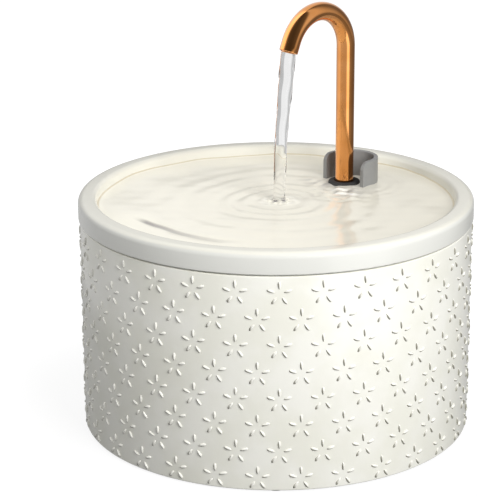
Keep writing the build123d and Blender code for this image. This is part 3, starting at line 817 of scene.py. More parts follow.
class Piece:
    """One object of the dressed fountain."""

    def __init__(self, name: str, mesh: bpy.types.Mesh, finish: Stock | Finish, crease: float = 40) -> None:
        """Makes the object.

        Args:
            name: The piece's name.
            mesh: Its mesh, in place.
            finish: What it is made of.
            crease: Faces that meet at more than this angle show an edge, in degrees.
        """
        self.crease = crease
        self.object = added(name, mesh)
        mesh.materials.clear()
        mesh.materials.append(finish.material())
        self._smooth()

    def _smooth(self) -> None:
        """Shades the piece smooth, with its creases kept."""
        mesh = self.object.data
        mesh.polygons.foreach_set("use_smooth", [True] * len(mesh.polygons))
        mesh.set_sharp_from_angle(angle=math.radians(self.crease))

    def modified(self, kind: str, **settings: object) -> "Piece":
        """Adds a modifier and makes its result the piece's mesh.

        Args:
            kind: The modifier's type.
            settings: Its settings.
        Returns:
            This piece.
        """
        modifier = self.object.modifiers.new(kind.lower(), kind)
        for key, value in settings.items():
            setattr(modifier, key, value)
        old = self.object.data
        self.object.data = result(self.object, modifier)
        bpy.data.meshes.remove(old)
        self._smooth()
        return self

    def cut(self, tool: Form, operation: str = "DIFFERENCE") -> "Piece":
        """Joins or cuts with another form.

        Args:
            tool: The other form.
            operation: DIFFERENCE or UNION.
        Returns:
            This piece.
        """
        other = added("tool", tool.mesh("tool"))
        other.data.materials.append(self.object.data.materials[0])
        self.modified("BOOLEAN", object=other, operation=operation, solver="EXACT")
        discard(other)
        return self

    def ride(self, body: str, slot: str, *nodes: str) -> "Piece":
        """Puts the piece on its body.

        Args:
            body: The body that carries it.
            slot: The material slot that its finish belongs to; not used.
            nodes: The nodes that it stands for.
        Returns:
            This piece.
        """
        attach(self.object, body)
        if nodes:
            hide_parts(*nodes)
        log.info("%s rides on %s with %d faces", self.object.name, body, len(self.object.data.polygons))
        return self


class Repeat:
    """A geometry node tree with named inputs, and what it makes."""

    def __init__(self, name: str, finish: Stock | Finish) -> None:
        """Starts the tree.

        Args:
            name: The name of the piece that it makes.
            finish: What that piece is made of.
        """
        self.name = name
        self.finish = finish
        self.tree = bpy.data.node_groups.new(name, "GeometryNodeTree")
        self.tree.interface.new_socket(name="Geometry", in_out="OUTPUT", socket_type="NodeSocketGeometry")
        self.graph = Graph(self.tree)
        self.entry = self.tree.nodes.new("NodeGroupInput")
        self.values: dict[str, object] = {}

    def size(self, name: str, value: float | int) -> Value:
        """Adds a named input.

        Args:
            name: The input's name.
            value: Its value for this fountain.
        Returns:
            The input inside the tree.
        """
        kind = "NodeSocketInt" if isinstance(value, int) else "NodeSocketFloat"
        item = self.tree.interface.new_socket(name=name, in_out="INPUT", socket_type=kind)
        self.values[item.identifier] = value
        return Value(self.graph, self.entry.outputs[name])

    def piece(self, geometry: Value, crease: float = 60) -> Piece:
        """Ends the tree and turns its result into a plain mesh.

        Args:
            geometry: What the tree has made, instances and all.
            crease: Faces that meet at more than this angle show an edge, in degrees.
        Returns:
            The piece.
        """
        real = self.graph.node("GeometryNodeRealizeInstances", None, {"Geometry": geometry})
        dress = {"Geometry": real, "Material": self.finish.material()}
        dressed = self.graph.node("GeometryNodeSetMaterial", None, dress)
        self.graph.node("NodeGroupOutput", None, {"Geometry": dressed})
        holder = added(self.name, bpy.data.meshes.new(self.name))
        modifier = holder.modifiers.new(self.name, "NODES")
        modifier.node_group = self.tree
        for identifier, value in self.values.items():
            modifier[identifier] = value
        mesh = result(holder, modifier)
        discard(holder)
        mesh.name = self.name
        return Piece(self.name, mesh, self.finish, crease)


# ---------------------------------------------------------------- sub-assemblies
@dataclass
class Bowl:
    """The reservoir bowl with its rows of raised flowers, its feet and the hole and seat for its cord grommet.
    """

    wall_r: float = 104.25
    inner_r: float = 98.0
    foot_r: float = 90.0
    foot_z: float = 0.8
    foot_edge_r: float = 0.6
    recess_z: float = 2.2
    floor_z: float = 7.0
    top_z: float = 114.2
    edge_r: float = 0.7
    corner_r: float = 7.0
    hole_z: float = 84.0
    hole_r: float = 5.0
    seat_r: float = 7.3
    seat_y: float = 103.0
    rows: int = 8
    flowers: int = 30
    petals: int = 5
    row_pitch: float = 14.0
    top_row: float = 105.4
    first_angle: float = 4.0
    petal_reach: float = 4.4
    petal_length: float = 4.3
    petal_width: float = 1.5
    petal_rise: float = 0.73
    petal_taper: float = 0.28

    def build(self) -> None:
        """Makes the bowl's pieces."""
        outline = rounded(
            [
                (0, self.recess_z),
                (self.foot_r, self.recess_z, self.foot_edge_r),
                (self.foot_r, self.foot_z, self.foot_edge_r),
                (self.wall_r, self.foot_z, self.edge_r),
                (self.wall_r, self.top_z, self.edge_r),
                (self.inner_r, self.top_z, self.edge_r),
                (self.inner_r, self.floor_z, self.corner_r),
                (0, self.floor_z),
            ]
        )
        bowl = Form().lathe(outline, 256).piece("bowl_wall", Stock.CERAMIC)
        bowl.cut(self._upright_disc(self.hole_r, self.inner_r - 4, self.wall_r + 2))
        bowl.cut(self._upright_disc(self.seat_r, self.seat_y, self.wall_r + 2))
        bowl.ride("base", "ceramic", "reservoir_bowl")
        self.flower_rows().ride("base", "ceramic")

    def _upright_disc(self, radius: float, near: float, far: float) -> Form:
        """A round cutter along Y at the cord hole.

        Args:
            radius: The cutter's radius.
            near: Where it starts along Y.
            far: Where it ends.
        Returns:
            The cutter.
        """
        angles = np.linspace(0, TURN, 48, endpoint=False)
        x, z = radius * np.cos(angles), self.hole_z + radius * np.sin(angles)
        return Form().sleeve([np.stack([x, np.full(48, depth), z], axis=1) for depth in (near, far)])

    def flower_rows(self) -> Piece:
        """Rows of five-petalled flowers in relief, every other row half a flower on."""
        repeat = Repeat("bowl_flowers", PetalGlaze())
        graph = repeat.graph
        sizes = {
            "Wall radius": self.wall_r * MM,
            "Rows": self.rows,
            "Flowers in a row": self.flowers,
            "Petals": self.petals,
            "Row pitch": self.row_pitch * MM,
            "Top row": self.top_row * MM,
            "Petal reach": self.petal_reach * MM,
            "Petal length": self.petal_length * MM,
            "Petal width": self.petal_width * MM,
            "Petal rise": self.petal_rise * MM,
            "First flower": math.radians(self.first_angle),
            "Cord hole height": self.hole_z * MM,
            "Bare round the cord hole": (self.seat_r + self.petal_reach + 2) * MM,
        }
        wall, rows, flowers, petals, pitch, top, reach, length, width, rise, first, hole_z, bare = (
            repeat.size(name, value) for name, value in sizes.items()
        )

        index = graph.node("GeometryNodeInputIndex")
        flower = (index / petals).floor()
        row = (flower / flowers).floor()
        petal_turn = (index % self.petals) * (TURN / self.petals) + math.pi / 2
        step = TURN / self.flowers
        flower_turn = first + (flower % self.flowers) * step + (row % 2) * (step / 2)
        flower_z = top - row * pitch
        turn = flower_turn + petal_turn.cosine() * reach / wall
        place = graph.joined(turn.cosine() * wall, turn.sine() * wall, flower_z + petal_turn.sine() * reach)
        across = (flower_turn - math.pi / 2) * wall
        beside = flower_z - hole_z
        clear = graph.node(
            "FunctionNodeCompare",
            {"data_type": "FLOAT", "operation": "GREATER_THAN"},
            {0: (across * across + beside * beside) ** 0.5, 1: bare},
        )
        outward = graph.joined(turn.cosine(), turn.sine())
        lean = petal_turn.cosine()
        along = graph.joined(turn.sine() * lean * -1.0, turn.cosine() * lean, petal_turn.sine())
        axes = {"primary_axis": "Z", "secondary_axis": "X"}
        facing = graph.node("FunctionNodeAxesToRotation", axes, {0: outward, 1: along})
        inputs = {"Count": rows * flowers * petals, "Position": place}
        points = graph.node("GeometryNodePoints", None, inputs)
        ball = graph.node("GeometryNodeMeshUVSphere", None, {"Segments": 12, "Rings": 6, "Radius": 1.0})
        spot = graph.parts(graph.node("GeometryNodeInputPosition"))
        taper = spot.output(0) * self.petal_taper + 1.0
        drop = graph.joined(
            spot.output(0) * length * 0.5, spot.output(1) * width * 0.5 * taper, spot.output(2) * rise
        )
        petal = graph.node("GeometryNodeSetPosition", None, {"Geometry": ball, "Position": drop})
        inputs = {"Points": points, "Selection": clear, "Instance": petal, "Rotation": facing}
        return repeat.piece(graph.node("GeometryNodeInstanceOnPoints", None, inputs), 80)


@dataclass
class Tray:
    """The lift-off drinking tray: rim, basin, overflow shelf with its slot, and the spout's hub."""

    band_r: float = 105.0
    band_z: float = 115.0
    rim_z: float = 126.5
    rim_in_r: float = 95.5
    basin_r: float = 91.0
    basin_z: float = 98.5
    under_z: float = 93.5
    skirt_r: float = 97.2
    edge_r: float = 0.7
    rim_outer_r: float = 3.4
    rim_inner_r: float = 2.6
    corner_r: float = 12.0
    shelf_r: float = 66.0
    shelf_z: float = 118.5
    shelf_t: float = 4.0
    shelf_half_angle: float = 34.0
    shelf_edge_r: float = 2.5
    shelf_foot_r: float = 3.0
    hollow_edge_r: float = 1.5
    sunk: float = 2.0
    hollow_out_r: float = 90.0
    slot_r: float = 74.5
    slot_w: float = 4.0
    slot_half_angle: float = 24.0
    hub_y: float = 56.35
    hub_r: float = 18.45
    hub_z: float = 116.5
    hub_cap_t: float = 5.0
    hub_edge_r: float = 1.4
    hub_foot_r: float = 4.0
    spout_y: float = 53.4
    pocket_r: float = 11.5
    sleeve_r: float = 8.3
    gasket_r: Flat = (100.0, 103.0)
    gasket_z: Flat = (114.2, 116.0)

    def build(self) -> None:
        """Makes the tray's pieces."""
        outline = rounded(
            [
                (0, self.under_z),
                (self.skirt_r - 1.0, self.under_z, self.corner_r + 5),
                (self.skirt_r, self.band_z, 0.8),
                (self.band_r, self.band_z, self.edge_r),
                (self.band_r, self.rim_z, self.rim_outer_r),
                (self.rim_in_r, self.rim_z, self.rim_inner_r),
                (self.basin_r, self.basin_z, self.corner_r),
                (0, self.basin_z),
            ],
            10,
        )
        tray = Form().lathe(outline, 256).piece("tray_shell", TrayGlaze(band_r=self.band_r), 32)
        tray.cut(self._wedge(self._shelf_outline(), self.shelf_half_angle), "UNION")
        tray.cut(self._hub(), "UNION")
        tray.cut(self._wedge(self._hollow_outline(), self.shelf_half_angle - 3))
        tray.cut(self._slot())
        tray.cut(self._round(self.pocket_r, self.under_z - 1, self.hub_z - self.hub_cap_t))
        tray.cut(self._round(self.sleeve_r, self.under_z - 1, self.hub_z + 1))
        tray.ride("tray", "ceramic", "drinking_tray")
        (inner, outer), (low, high) = self.gasket_r, self.gasket_z
        ring = rounded([(inner, low, 0.3), (outer, low, 0.3), (outer, high, 0.3), (inner, high, 0.3)], 2)
        Form().lathe(ring, 256).piece("seam_gasket", Stock.SILICONE).ride("tray", "clear_rubber", "tray_gasket")

    def _shelf_outline(self) -> list[Flat]:
        """The shelf's section, rounded along its inner edge and at its foot."""
        floor = self.basin_z
        return rounded(
            [
                (self.shelf_r - 5, floor - self.sunk),
                (self.shelf_r - 5, floor - 0.1),
                (self.shelf_r, floor, self.shelf_foot_r),
                (self.shelf_r, self.shelf_z, self.shelf_edge_r),
                (self.rim_in_r, self.shelf_z),
                (self.rim_in_r, floor + self.corner_r),
                (self.basin_r - 3, floor - self.sunk),
            ],
            8,
        )

    def _hollow_outline(self) -> list[Flat]:
        """The section of the hollow beneath the shelf."""
        inner, outer = self.shelf_r + self.shelf_t, self.hollow_out_r
        low, top = self.under_z - 1, self.shelf_z - self.shelf_t
        bend = (outer, self.basin_z + self.corner_r / 2)
        edge = self.hollow_edge_r
        return rounded([(inner, low), (inner, top, edge), (outer, top, edge), bend, (outer - 6, low)], 4)

    def _wedge(self, outline: Sequence[Flat], half_angle: float) -> Form:
        """Turns a section through an angle round the front.

        Args:
            outline: The section, as radius and height.
            half_angle: How far it turns to each side, in degrees.
        Returns:
            The solid.
        """
        angles = np.radians(np.linspace(-90 - half_angle, -90 + half_angle, 65))
        return Form().sleeve(
            [np.array([(r * math.cos(angle), r * math.sin(angle), z) for r, z in outline]) for angle in angles]
        )

    def _slot(self) -> Form:
        """The curved overflow slot, with round ends."""
        half = math.radians(self.slot_half_angle)
        middle = -math.pi / 2
        wide = self.slot_w / 2
        outline: list[Flat] = []
        for side in (1, -1):
            for step in range(49):
                angle = middle + side * half * (step / 24 - 1)
                radius = self.slot_r + side * wide
                outline.append((radius * math.cos(angle), radius * math.sin(angle)))
            end = middle + side * half
            for step in range(1, 12):
                lean = end + side * math.pi * step / 12
                x = self.slot_r * math.cos(end) + side * wide * math.cos(lean)
                y = self.slot_r * math.sin(end) + side * wide * math.sin(lean)
                outline.append((x, y))
        return Form().prism(outline, self.shelf_z - self.shelf_t - 1, self.shelf_z + 1)

    def _hub(self) -> Form:
        """The hub that carries the shield and the spout."""
        foot_r, floor, low = self.hub_r + 6, self.basin_z, self.basin_z - self.sunk
        outline = [(0, low), (foot_r, low), (foot_r, floor - 0.1), (self.hub_r, floor, self.hub_foot_r)]
        outline += [(self.hub_r, self.hub_z, self.hub_edge_r), (0, self.hub_z)]
        return Form().lathe(rounded(outline, 8), 96, (0, self.hub_y))

    def _round(self, radius: float, low: float, high: float) -> Form:
        """An upright round cutter on the spout's axis."""
        return Form().lathe([(0, low), (radius, low), (radius, high), (0, high)], 96, (0, self.spout_y))


@dataclass
class Spout:
    """The bent copper-coloured tube."""

    y: float = 53.4
    radius: float = 5.0
    wall: float = 1.0
    foot_z: float = 108.0
    leg_z: float = 197.3
    bend_r: float = 21.7
    bend_angle: float = 156.8
    bend_steps: int = 80
    run: float = 5.9
    segments: int = 64

    def path(self) -> list[Point]:
        """The tube's line as y, z and the lean of its direction from straight up, in radians."""
        made = [(self.y, self.foot_z, 0.0), (self.y, (self.foot_z + self.leg_z) / 2, 0.0)]
        middle = self.y - self.bend_r
        whole = math.radians(self.bend_angle)
        for step in range(self.bend_steps + 1):
            turn = whole * step / self.bend_steps
            made.append((middle + self.bend_r * math.cos(turn), self.leg_z + self.bend_r * math.sin(turn), turn))
        y, z, _ = made[-1]
        for share in (0.5, 1.0):
            made.append((y - math.sin(whole) * self.run * share, z + math.cos(whole) * self.run * share, whole))
        return made

    def ring(self, place: Point, radius: float, shift: float = 0.0) -> np.ndarray:
        """A ring of points square to the tube's line.

        Args:
            place: A point of the path.
            radius: The ring's radius.
            shift: How far it is moved on along the line.
        Returns:
            The ring's points.
        """
        y, z, turn = place
        angles = np.linspace(0, TURN, self.segments, endpoint=False)
        across = radius * np.cos(angles)
        depth = y - math.sin(turn) * shift + across * math.cos(turn)
        height = z + math.cos(turn) * shift + across * math.sin(turn)
        return np.stack([radius * np.sin(angles), depth, height], axis=1)

    def build(self) -> None:
        """Makes the tube with its rounded lip."""
        path = self.path()
        half = self.wall / 2
        rings = [self.ring(place, self.radius) for place in path[:-1]]
        for lean in (math.pi * step / 8 for step in range(9)):
            radius = self.radius - half + half * math.cos(lean)
            rings.append(self.ring(path[-1], radius, half * (math.sin(lean) - 1)))
        rings += [self.ring(place, self.radius - self.wall) for place in reversed(path[:-1])]
        tube = Form().sleeve(rings, closed=True).piece("spout_tube_bent", Stock.COPPER, 50)
        tube.ride("spout", "copper_tube", "spout_tube")


@dataclass
class Shield:
    """The grey shield behind the spout, with its foot, its sleeve and the rubber collar."""

    spout_y: float = 53.4
    centre_y: float = 58.4
    radius: float = 15.0
    wall: float = 2.4
    front_y: float = 52.4
    low_z: float = 116.5
    plate_z: float = 118.5
    top_z: float = 134.7
    corner_r: float = 4.5
    edge_r: float = 0.45
    foot_middle_y: float = 56.0
    foot_back_r: float = 14.98
    foot_front_r: float = 11.15
    sleeve_r: float = 8.0
    bore_r: float = 5.25
    under_z: float = 93.5
    tip_r: float = 6.0
    tip_bore_r: float = 4.0
    tip_z: float = 82.0
    seat_z: float = 95.7
    collar_r: float = 8.75
    collar_z: float = 122.2

    def build(self) -> None:
        """Makes the shield, its foot and the collar."""
        self._wall_piece().ride("tray", "grey_plastic", "spout_shield")
        self._foot_piece().ride("tray", "grey_plastic")
        outline = [(self.bore_r, self.plate_z, 0.2), (self.collar_r, self.plate_z, 0.3)]
        outline += [(self.collar_r, self.collar_z, 1.0), (self.bore_r, self.collar_z, 0.5)]
        ring = Form().lathe(rounded(outline, 5), 96, (0, self.spout_y))
        ring.piece("foot_collar", Stock.RUBBER).ride("collar", "black_rubber", "spout_collar")

    def _line(self) -> list[tuple[float, float, float, float]]:
        """The wall's middle line from one cheek to the other: x, y, and the way outwards."""
        middle = self.radius - self.wall / 2
        reach = self.centre_y - self.front_y
        steps = [0.0, 0.12, 0.35, 0.7, 1.2, 1.9, 2.8, 3.8, self.corner_r, reach]
        right = [(middle, self.front_y + step, 1.0, 0.0) for step in steps]
        ways = [(math.cos(math.pi * step / 48), math.sin(math.pi * step / 48)) for step in range(1, 48)]
        arc = [(middle * x, self.centre_y + middle * y, x, y) for x, y in ways]
        left = [(-x, y, -1.0, 0.0) for x, y, _, _ in reversed(right)]
        return right + arc + left

    def _top(self, y: float, on_cheek: bool) -> float:
        """The wall's top at a point of its line, lower round the cheek's front corner.

        Args:
            y: Where the point lies along Y.
            on_cheek: Whether it is on a straight cheek.
        Returns:
            The height of the top.
        """
        inset = self.corner_r - (y - self.front_y)
        if not on_cheek or inset <= 0:
            return self.top_z
        return self.top_z - self.corner_r + math.sqrt(max(0.0, self.corner_r**2 - inset**2))

    def _wall_piece(self) -> Piece:
        """The curved wall with rounded edges."""
        half = self.wall / 2
        leans = [math.pi / 2 * step / 5 for step in range(6)]
        rings = []
        for x, y, out_x, out_y in self._line():
            middle = self._top(y, out_y == 0.0) - self.edge_r
            ring = [(-half, self.low_z), (half, self.low_z)]
            for side, first in ((1, 0.0), (-1, math.pi / 2)):
                for lean in (first + step for step in leans):
                    across = side * (half - self.edge_r) + self.edge_r * math.cos(lean)
                    ring.append((across, middle + self.edge_r * math.sin(lean)))
            rings.append(np.array([(x + out_x * a, y + out_y * a, z) for a, z in ring]))
        return Form().sleeve(rings).piece("shield_wall", Stock.SHIELD, 50)

    def _foot_piece(self) -> Piece:
        """The plate under the wall, the sleeve through the tray and its tip."""
        outline: list[Flat] = []
        for angle in (TURN * step / 128 for step in range(128)):
            reach = 0.0
            for centre, radius in ((self.centre_y, self.foot_back_r), (self.spout_y, self.foot_front_r)):
                shift = centre - self.foot_middle_y
                along = shift * math.sin(angle)
                reach = max(reach, along + math.sqrt(along * along - shift * shift + radius * radius))
            outline.append((reach * math.cos(angle), self.foot_middle_y + reach * math.sin(angle)))
        foot = Form().prism(outline, self.low_z, self.plate_z).piece("shield_foot", Stock.SHIELD, 40)
        sleeve = [
            (self.tip_bore_r, self.tip_z, 0.4),
            (self.tip_r, self.tip_z, 0.6),
            (self.tip_r, self.under_z),
            (self.sleeve_r, self.under_z, 0.5),
            (self.sleeve_r, self.low_z + 0.5),
            (self.bore_r, self.low_z + 0.5),
            (self.bore_r, self.seat_z),
            (self.tip_bore_r, self.seat_z),
        ]
        low, high = self.low_z - 1, self.plate_z + 1
        bore = [(0, low), (self.bore_r, low), (self.bore_r, high), (0, high)]
        foot.cut(Form().lathe(bore, 64, (0, self.spout_y)))
        foot.cut(Form().lathe(rounded(sleeve, 4), 64, (0, self.spout_y)), "UNION")
        return foot


def hump(value: np.ndarray, middle: float | np.ndarray, spread: float, power: int = 2) -> np.ndarray:
    """1 where a value meets its middle, and less the further it is from it."""
    return np.exp(-(((value - middle) / spread) ** power))


def above(value: np.ndarray, middle: float, spread: float) -> np.ndarray:
    """0 well below a middle and 1 well above it."""
    return 1 / (1 + np.exp(-(value - middle) / spread))


@dataclass(frozen=True)
class Patch:
    """A soft oval patch of the pool's surface."""

    x: float
    y: float
    wide: float
    long: float

    def over(self, x: np.ndarray, y: np.ndarray) -> np.ndarray:
        """How much of it there is at each point, from 0 to 1."""
        return hump(x, self.x, self.wide) * hump(y, self.y, self.long)


@dataclass(frozen=True)
class Ripples:
    """Rings on the pool: their length and height, and the radius round which they stand."""

    length: float
    height: float
    middle_r: float
    spread: float

    def at(self, phase: np.ndarray, radius: np.ndarray) -> np.ndarray:
        """Their height, from a radius that sets their crests and the true one."""
        return self.height * np.cos(TURN * phase / self.length) * hump(radius, self.middle_r, self.spread)


@dataclass
class Water:
    """The pool in the tray, the stream from the spout and the splash where they meet."""

    level: float = 120.8
    wall_r: float = 95.0
    floor_z: float = 97.0
    corner: Point = (80.6, 110.5, 14.0)
    edge_low: float = 116.0
    segments: int = 256
    first_r: float = 0.6
    fine_r: float = 40.0
    fine_rings: int = 100
    plain_rings: int = 92
    shelf_low: float = 116.6
    shelf_low_r: float = 68.0
    shelf_low_angle: float = 32.5
    hub_low: float = 114.0
    hub_low_y: float = 54.9
    hub_low_r: float = 15.0
    landing_y: float = 2.4
    spout_y: float = 53.4
    crest_r: float = 28.0
    near_rings: Ripples = Ripples(9.5, 0.2, 24, 15)
    far_rings: Ripples = Ripples(14.5, 0.14, 52, 20)
    splash_rings: Ripples = Ripples(4.8, 0.10, 0, 13)
    spout_rings: Ripples = Ripples(6.2, 0.1, 25, 9)
    choppy: Patch = Patch(12, 38, 16, 13)
    # swirl: where the churn foams and where it carries painted reflection of the shield
    swirl: Patch = Patch(14, 39, 10, 8)
    # painted reflection of the grey shield on the water in front of it
    shield_reflection: Patch = Patch(-9, 43, 11, 7)
    # where the overflow slot lies under the pool: it sets a dip and a painted shade
    slot_from: float = -19.0
    slot_to: float = 27.0
    slot_r: float = 72.5
    seed: int = 7
    waves: int = 7
    churn_waves: int = 9
    wall_climb: float = 0.9
    landing_climb: float = 0.8
    landing_r: float = 3.0
    crown: Flat = (5.2, 0.35)
    fall_from: float = 199.0
    fall: float = 79.0
    tilt: float = 0.39
    tilt_from: float = 176.0
    tilt_over: float = 22.0
    stream: tuple[Point, ...] = (
        (10.9, 204.0, 3.9),
        (9.43, 200.4, 4.1),
        (8.75, 195.0, 4.15),
        (7.75, 187.0, 4.1),
        (6.8, 178.4, 3.95),
        (5.3, 166.0, 3.62),
        (4.0, 154.1, 3.42),
        (3.4, 143.2, 3.3),
        (3.0, 132.2, 3.25),
        (2.7, 123.6, 3.2),
        (2.6, 120.4, 3.7),
    )

    def build(self) -> None:
        """Makes the pool and the stream."""
        self.pool().ride("tray", "water", "basin_water")
        self.falling().ride("spout", "water", "water_stream")

    def _ripples(self, x: np.ndarray, y: np.ndarray, rng: np.random.Generator) -> np.ndarray:
        """The height of the rings and waves over the level.

        Args:
            x: Where, across.
            y: Where, along.
            rng: What the waves are drawn from.
        Returns:
            The height in millimetres.
        """
        radius = np.hypot(x, y - self.landing_y)
        turn = np.arctan2(y - self.landing_y, x)
        bent = radius - self.crest_r + 1.6 * np.sin(2 * turn + 0.8) + 0.9 * np.sin(3 * turn - 1.1)
        height = self.near_rings.at(bent, radius) + self.far_rings.at(bent, radius)
        height += self.splash_rings.at(radius, radius)
        whole = np.ones_like(x)
        for low, high, steep, around in (
            (34, 80, 0.0035, whole),
            (12, 26, 0.0022, whole),
            (4.5, 10, 0.04, self.choppy.over(x, y)),
        ):
            for _ in range(self.waves):
                heading = rng.uniform(0, TURN)
                length = rng.uniform(low, high)
                size = steep * length * rng.uniform(0.4, 1.0)
                start = rng.uniform(0, TURN)
                along = x * math.cos(heading) + y * math.sin(heading)
                height += around * size * np.sin(TURN * along / length + start)
        from_wall = np.clip(self.wall_r - np.hypot(x, y), 0, None)
        height += self.wall_climb * np.exp(-from_wall / self.wall_climb)
        height += self.landing_climb * np.exp(-np.clip(radius - self.landing_r, 0, None))
        crown_r, crown_h = self.crown
        spikes = np.sin(9 * turn + 0.4) + 0.6 * np.sin(14 * turn + radius)
        height += crown_h * hump(radius, crown_r, 1.3) * spikes
        from_spout = np.hypot(x - 3, y - self.spout_y)
        return height + above(x, 2, 5) * self.spout_rings.at(from_spout, from_spout)

    def _churn(self, x: np.ndarray, y: np.ndarray, rng: np.random.Generator) -> np.ndarray:
        """Short crossing waves of no height, which say where it foams and where painted reflection of the shield
        darkens it.

        Args:
            x: Where, across.
            y: Where, along.
            rng: What the waves are drawn from.
        Returns:
            A number round 0.
        """
        churn = np.zeros_like(x)
        for _ in range(self.churn_waves):
            heading = rng.uniform(0, TURN)
            length = rng.uniform(4.5, 11)
            start = rng.uniform(0, TURN)
            along = x * math.cos(heading) + y * math.sin(heading)
            churn += 0.42 * np.sin(TURN * along / length + start + 0.8 * np.sin(along / 7))
        return churn

    def surface(self, x: np.ndarray, y: np.ndarray) -> tuple[np.ndarray, np.ndarray, np.ndarray]:
        """The surface over its level, how much it foams, and where painted shade and painted reflection darken
        it.

        Args:
            x: Where, across.
            y: Where, along.
        Returns:
            The height in millimetres, the foam, and the painted shade and painted reflection, from 0 to 1.
        """
        rng = np.random.default_rng(self.seed)
        height = self._ripples(x, y, rng)
        radius = np.hypot(x, y - self.landing_y)
        turn = np.arctan2(y - self.landing_y, x)
        from_axis = np.hypot(x, y)
        from_front = np.degrees(np.arctan2(x, -y))
        on_slot = above(from_front, self.slot_from, 1.2) * above(-from_front, -self.slot_to, 3)
        slot_r = self.slot_r + 0.0092 * np.clip(3 - from_front, 0, None) ** 2
        height -= 0.5 * hump(from_axis, slot_r, 3.4) * on_slot
        # painted shade: the overflow slot shows as a dark curve on the surface
        depth = hump(from_axis, slot_r, 2.1, 4) * on_slot * (0.6 - 0.016 * from_front)
        # painted shade: dark specks in a ring round the foot of the stream
        depth += 1.3 * hump(radius, self.landing_r, 1.5) * (0.45 + 0.55 * np.sin(4 * turn + 0.8))
        foam = 0.15 * hump(radius, 8.5, 2.5) * (0.5 + 0.5 * np.sin(7 * turn + radius))
        churn = self._churn(x, y, rng)
        swirl = self.swirl.over(x, y)
        foam += 0.6 * swirl * np.clip(churn - 0.2, 0, 1)
        # painted reflection of the grey shield: dark swirls where the churn runs low
        depth += 0.5 * swirl * np.clip(-churn - 0.2, 0, 1)
        # painted reflection of the grey shield on the water in front of it
        depth += 0.5 * self.shield_reflection.over(x, y) * np.clip(0.3 + churn, 0, 1)
        return height, np.clip(foam, 0, 1), np.clip(depth, 0, 1)

    def _underside(self, radius: np.ndarray) -> np.ndarray:
        """The height of the pool's underside, which stays inside the tray's wall.

        Args:
            radius: The distance from the axis.
        Returns:
            The height in millimetres.
        """
        middle_r, middle_z, bend_r = self.corner
        across = np.clip(radius - middle_r, 0, bend_r)
        low = np.maximum(self.floor_z, middle_z - np.sqrt(bend_r**2 - across**2))
        return np.where(radius > middle_r + bend_r, self.edge_low, low)

    def pool(self) -> Piece:
        """The pool: a rippled top, and an underside hidden in the ceramic."""
        count = self.segments
        fine = np.linspace(self.first_r, self.fine_r, self.fine_rings)
        plain = np.linspace(self.fine_r + self.first_r, self.wall_r, self.plain_rings)
        radii = np.concatenate([fine, plain])
        r, t = np.meshgrid(radii, np.linspace(0, TURN, count, endpoint=False), indexing="ij")
        x, y = r * np.cos(t), r * np.sin(t)
        height, foam, depth = self.surface(x, y)
        low = self._underside(r)
        front = np.abs(np.degrees(np.arctan2(x, -y)))
        low[(r > self.shelf_low_r) & (front < self.shelf_low_angle)] = self.shelf_low
        low[np.hypot(x, y - self.hub_low_y) < self.hub_low_r] = self.hub_low
        middle = self.level + float(self.surface(np.zeros(1), np.zeros(1))[0][0])
        form = Form()
        for first, heights in ((middle, self.level + height), (self.floor_z, low)):
            base = len(form.points)
            form.points += [(0, 0, first)]
            form.points += [tuple(point) for point in np.stack([x, y, heights], axis=2).reshape(-1, 3)]
            order = -1 if base else 1
            for index in range(count):
                after = (index + 1) % count
                form.faces.append([base, base + 1 + index, base + 1 + after][::order])
                for row in range(len(radii) - 1):
                    near = base + 1 + row * count
                    far = near + count
                    form.faces.append([near + index, far + index, far + after, near + after][::order])
        edge = 1 + (len(radii) - 1) * count
        under = edge + len(form.points) // 2
        for index in range(count):
            after = (index + 1) % count
            form.faces.append([edge + index, under + index, under + after, edge + after])
        mesh = form.mesh("pool")
        # the depth attribute carries painted shade and painted reflection
        for name, values in (("foam", foam), ("depth", depth)):
            shares = np.concatenate([[0], values.ravel(), np.zeros(len(mesh.vertices) - 1 - values.size)])
            layer = mesh.attributes.new(name, "FLOAT", "POINT")
            layer.data.foreach_set("value", shares.astype(np.float32))
        return Piece("pool", mesh, Stock.POOL, 50)

    def falling(self) -> Piece:
        """The stream, narrowing as it falls and square to the outlet where it leaves it."""
        points = np.array(self.stream)
        fine = np.linspace(0, 1, 150)
        reach = 12
        window = np.hanning(2 * reach + 1)
        window /= window.sum()
        curve = []
        for column in points.T:
            line = np.interp(fine, np.linspace(0, 1, len(points)), column)
            smooth = np.convolve(np.pad(line, reach, mode="edge"), window, mode="same")[reach:-reach]
            line[6:-6] = smooth[6:-6]
            curve.append(line)
        angles = np.linspace(0, TURN, 40, endpoint=False)
        rings = []
        for y, z, radius in zip(*curve, strict=True):
            drop = (self.fall_from - z) / self.fall
            wave = 1 + 0.05 * drop * np.sin(2 * angles + z * 0.13) + 0.03 * np.sin(z * 0.35 + 3 * angles)
            wave += 0.006 * np.sin(z * 0.9)
            across = radius * wave
            tilt = self.tilt * min(1.0, max(0.0, (z - self.tilt_from) / self.tilt_over))
            depth = y + across * np.cos(angles) * math.cos(tilt)
            height = z - across * np.cos(angles) * math.sin(tilt)
            rings.append(np.stack([across * np.sin(angles) * 0.97, depth, height], axis=1))
        return Form().sleeve(rings).piece("stream", Stock.STREAM, 60)


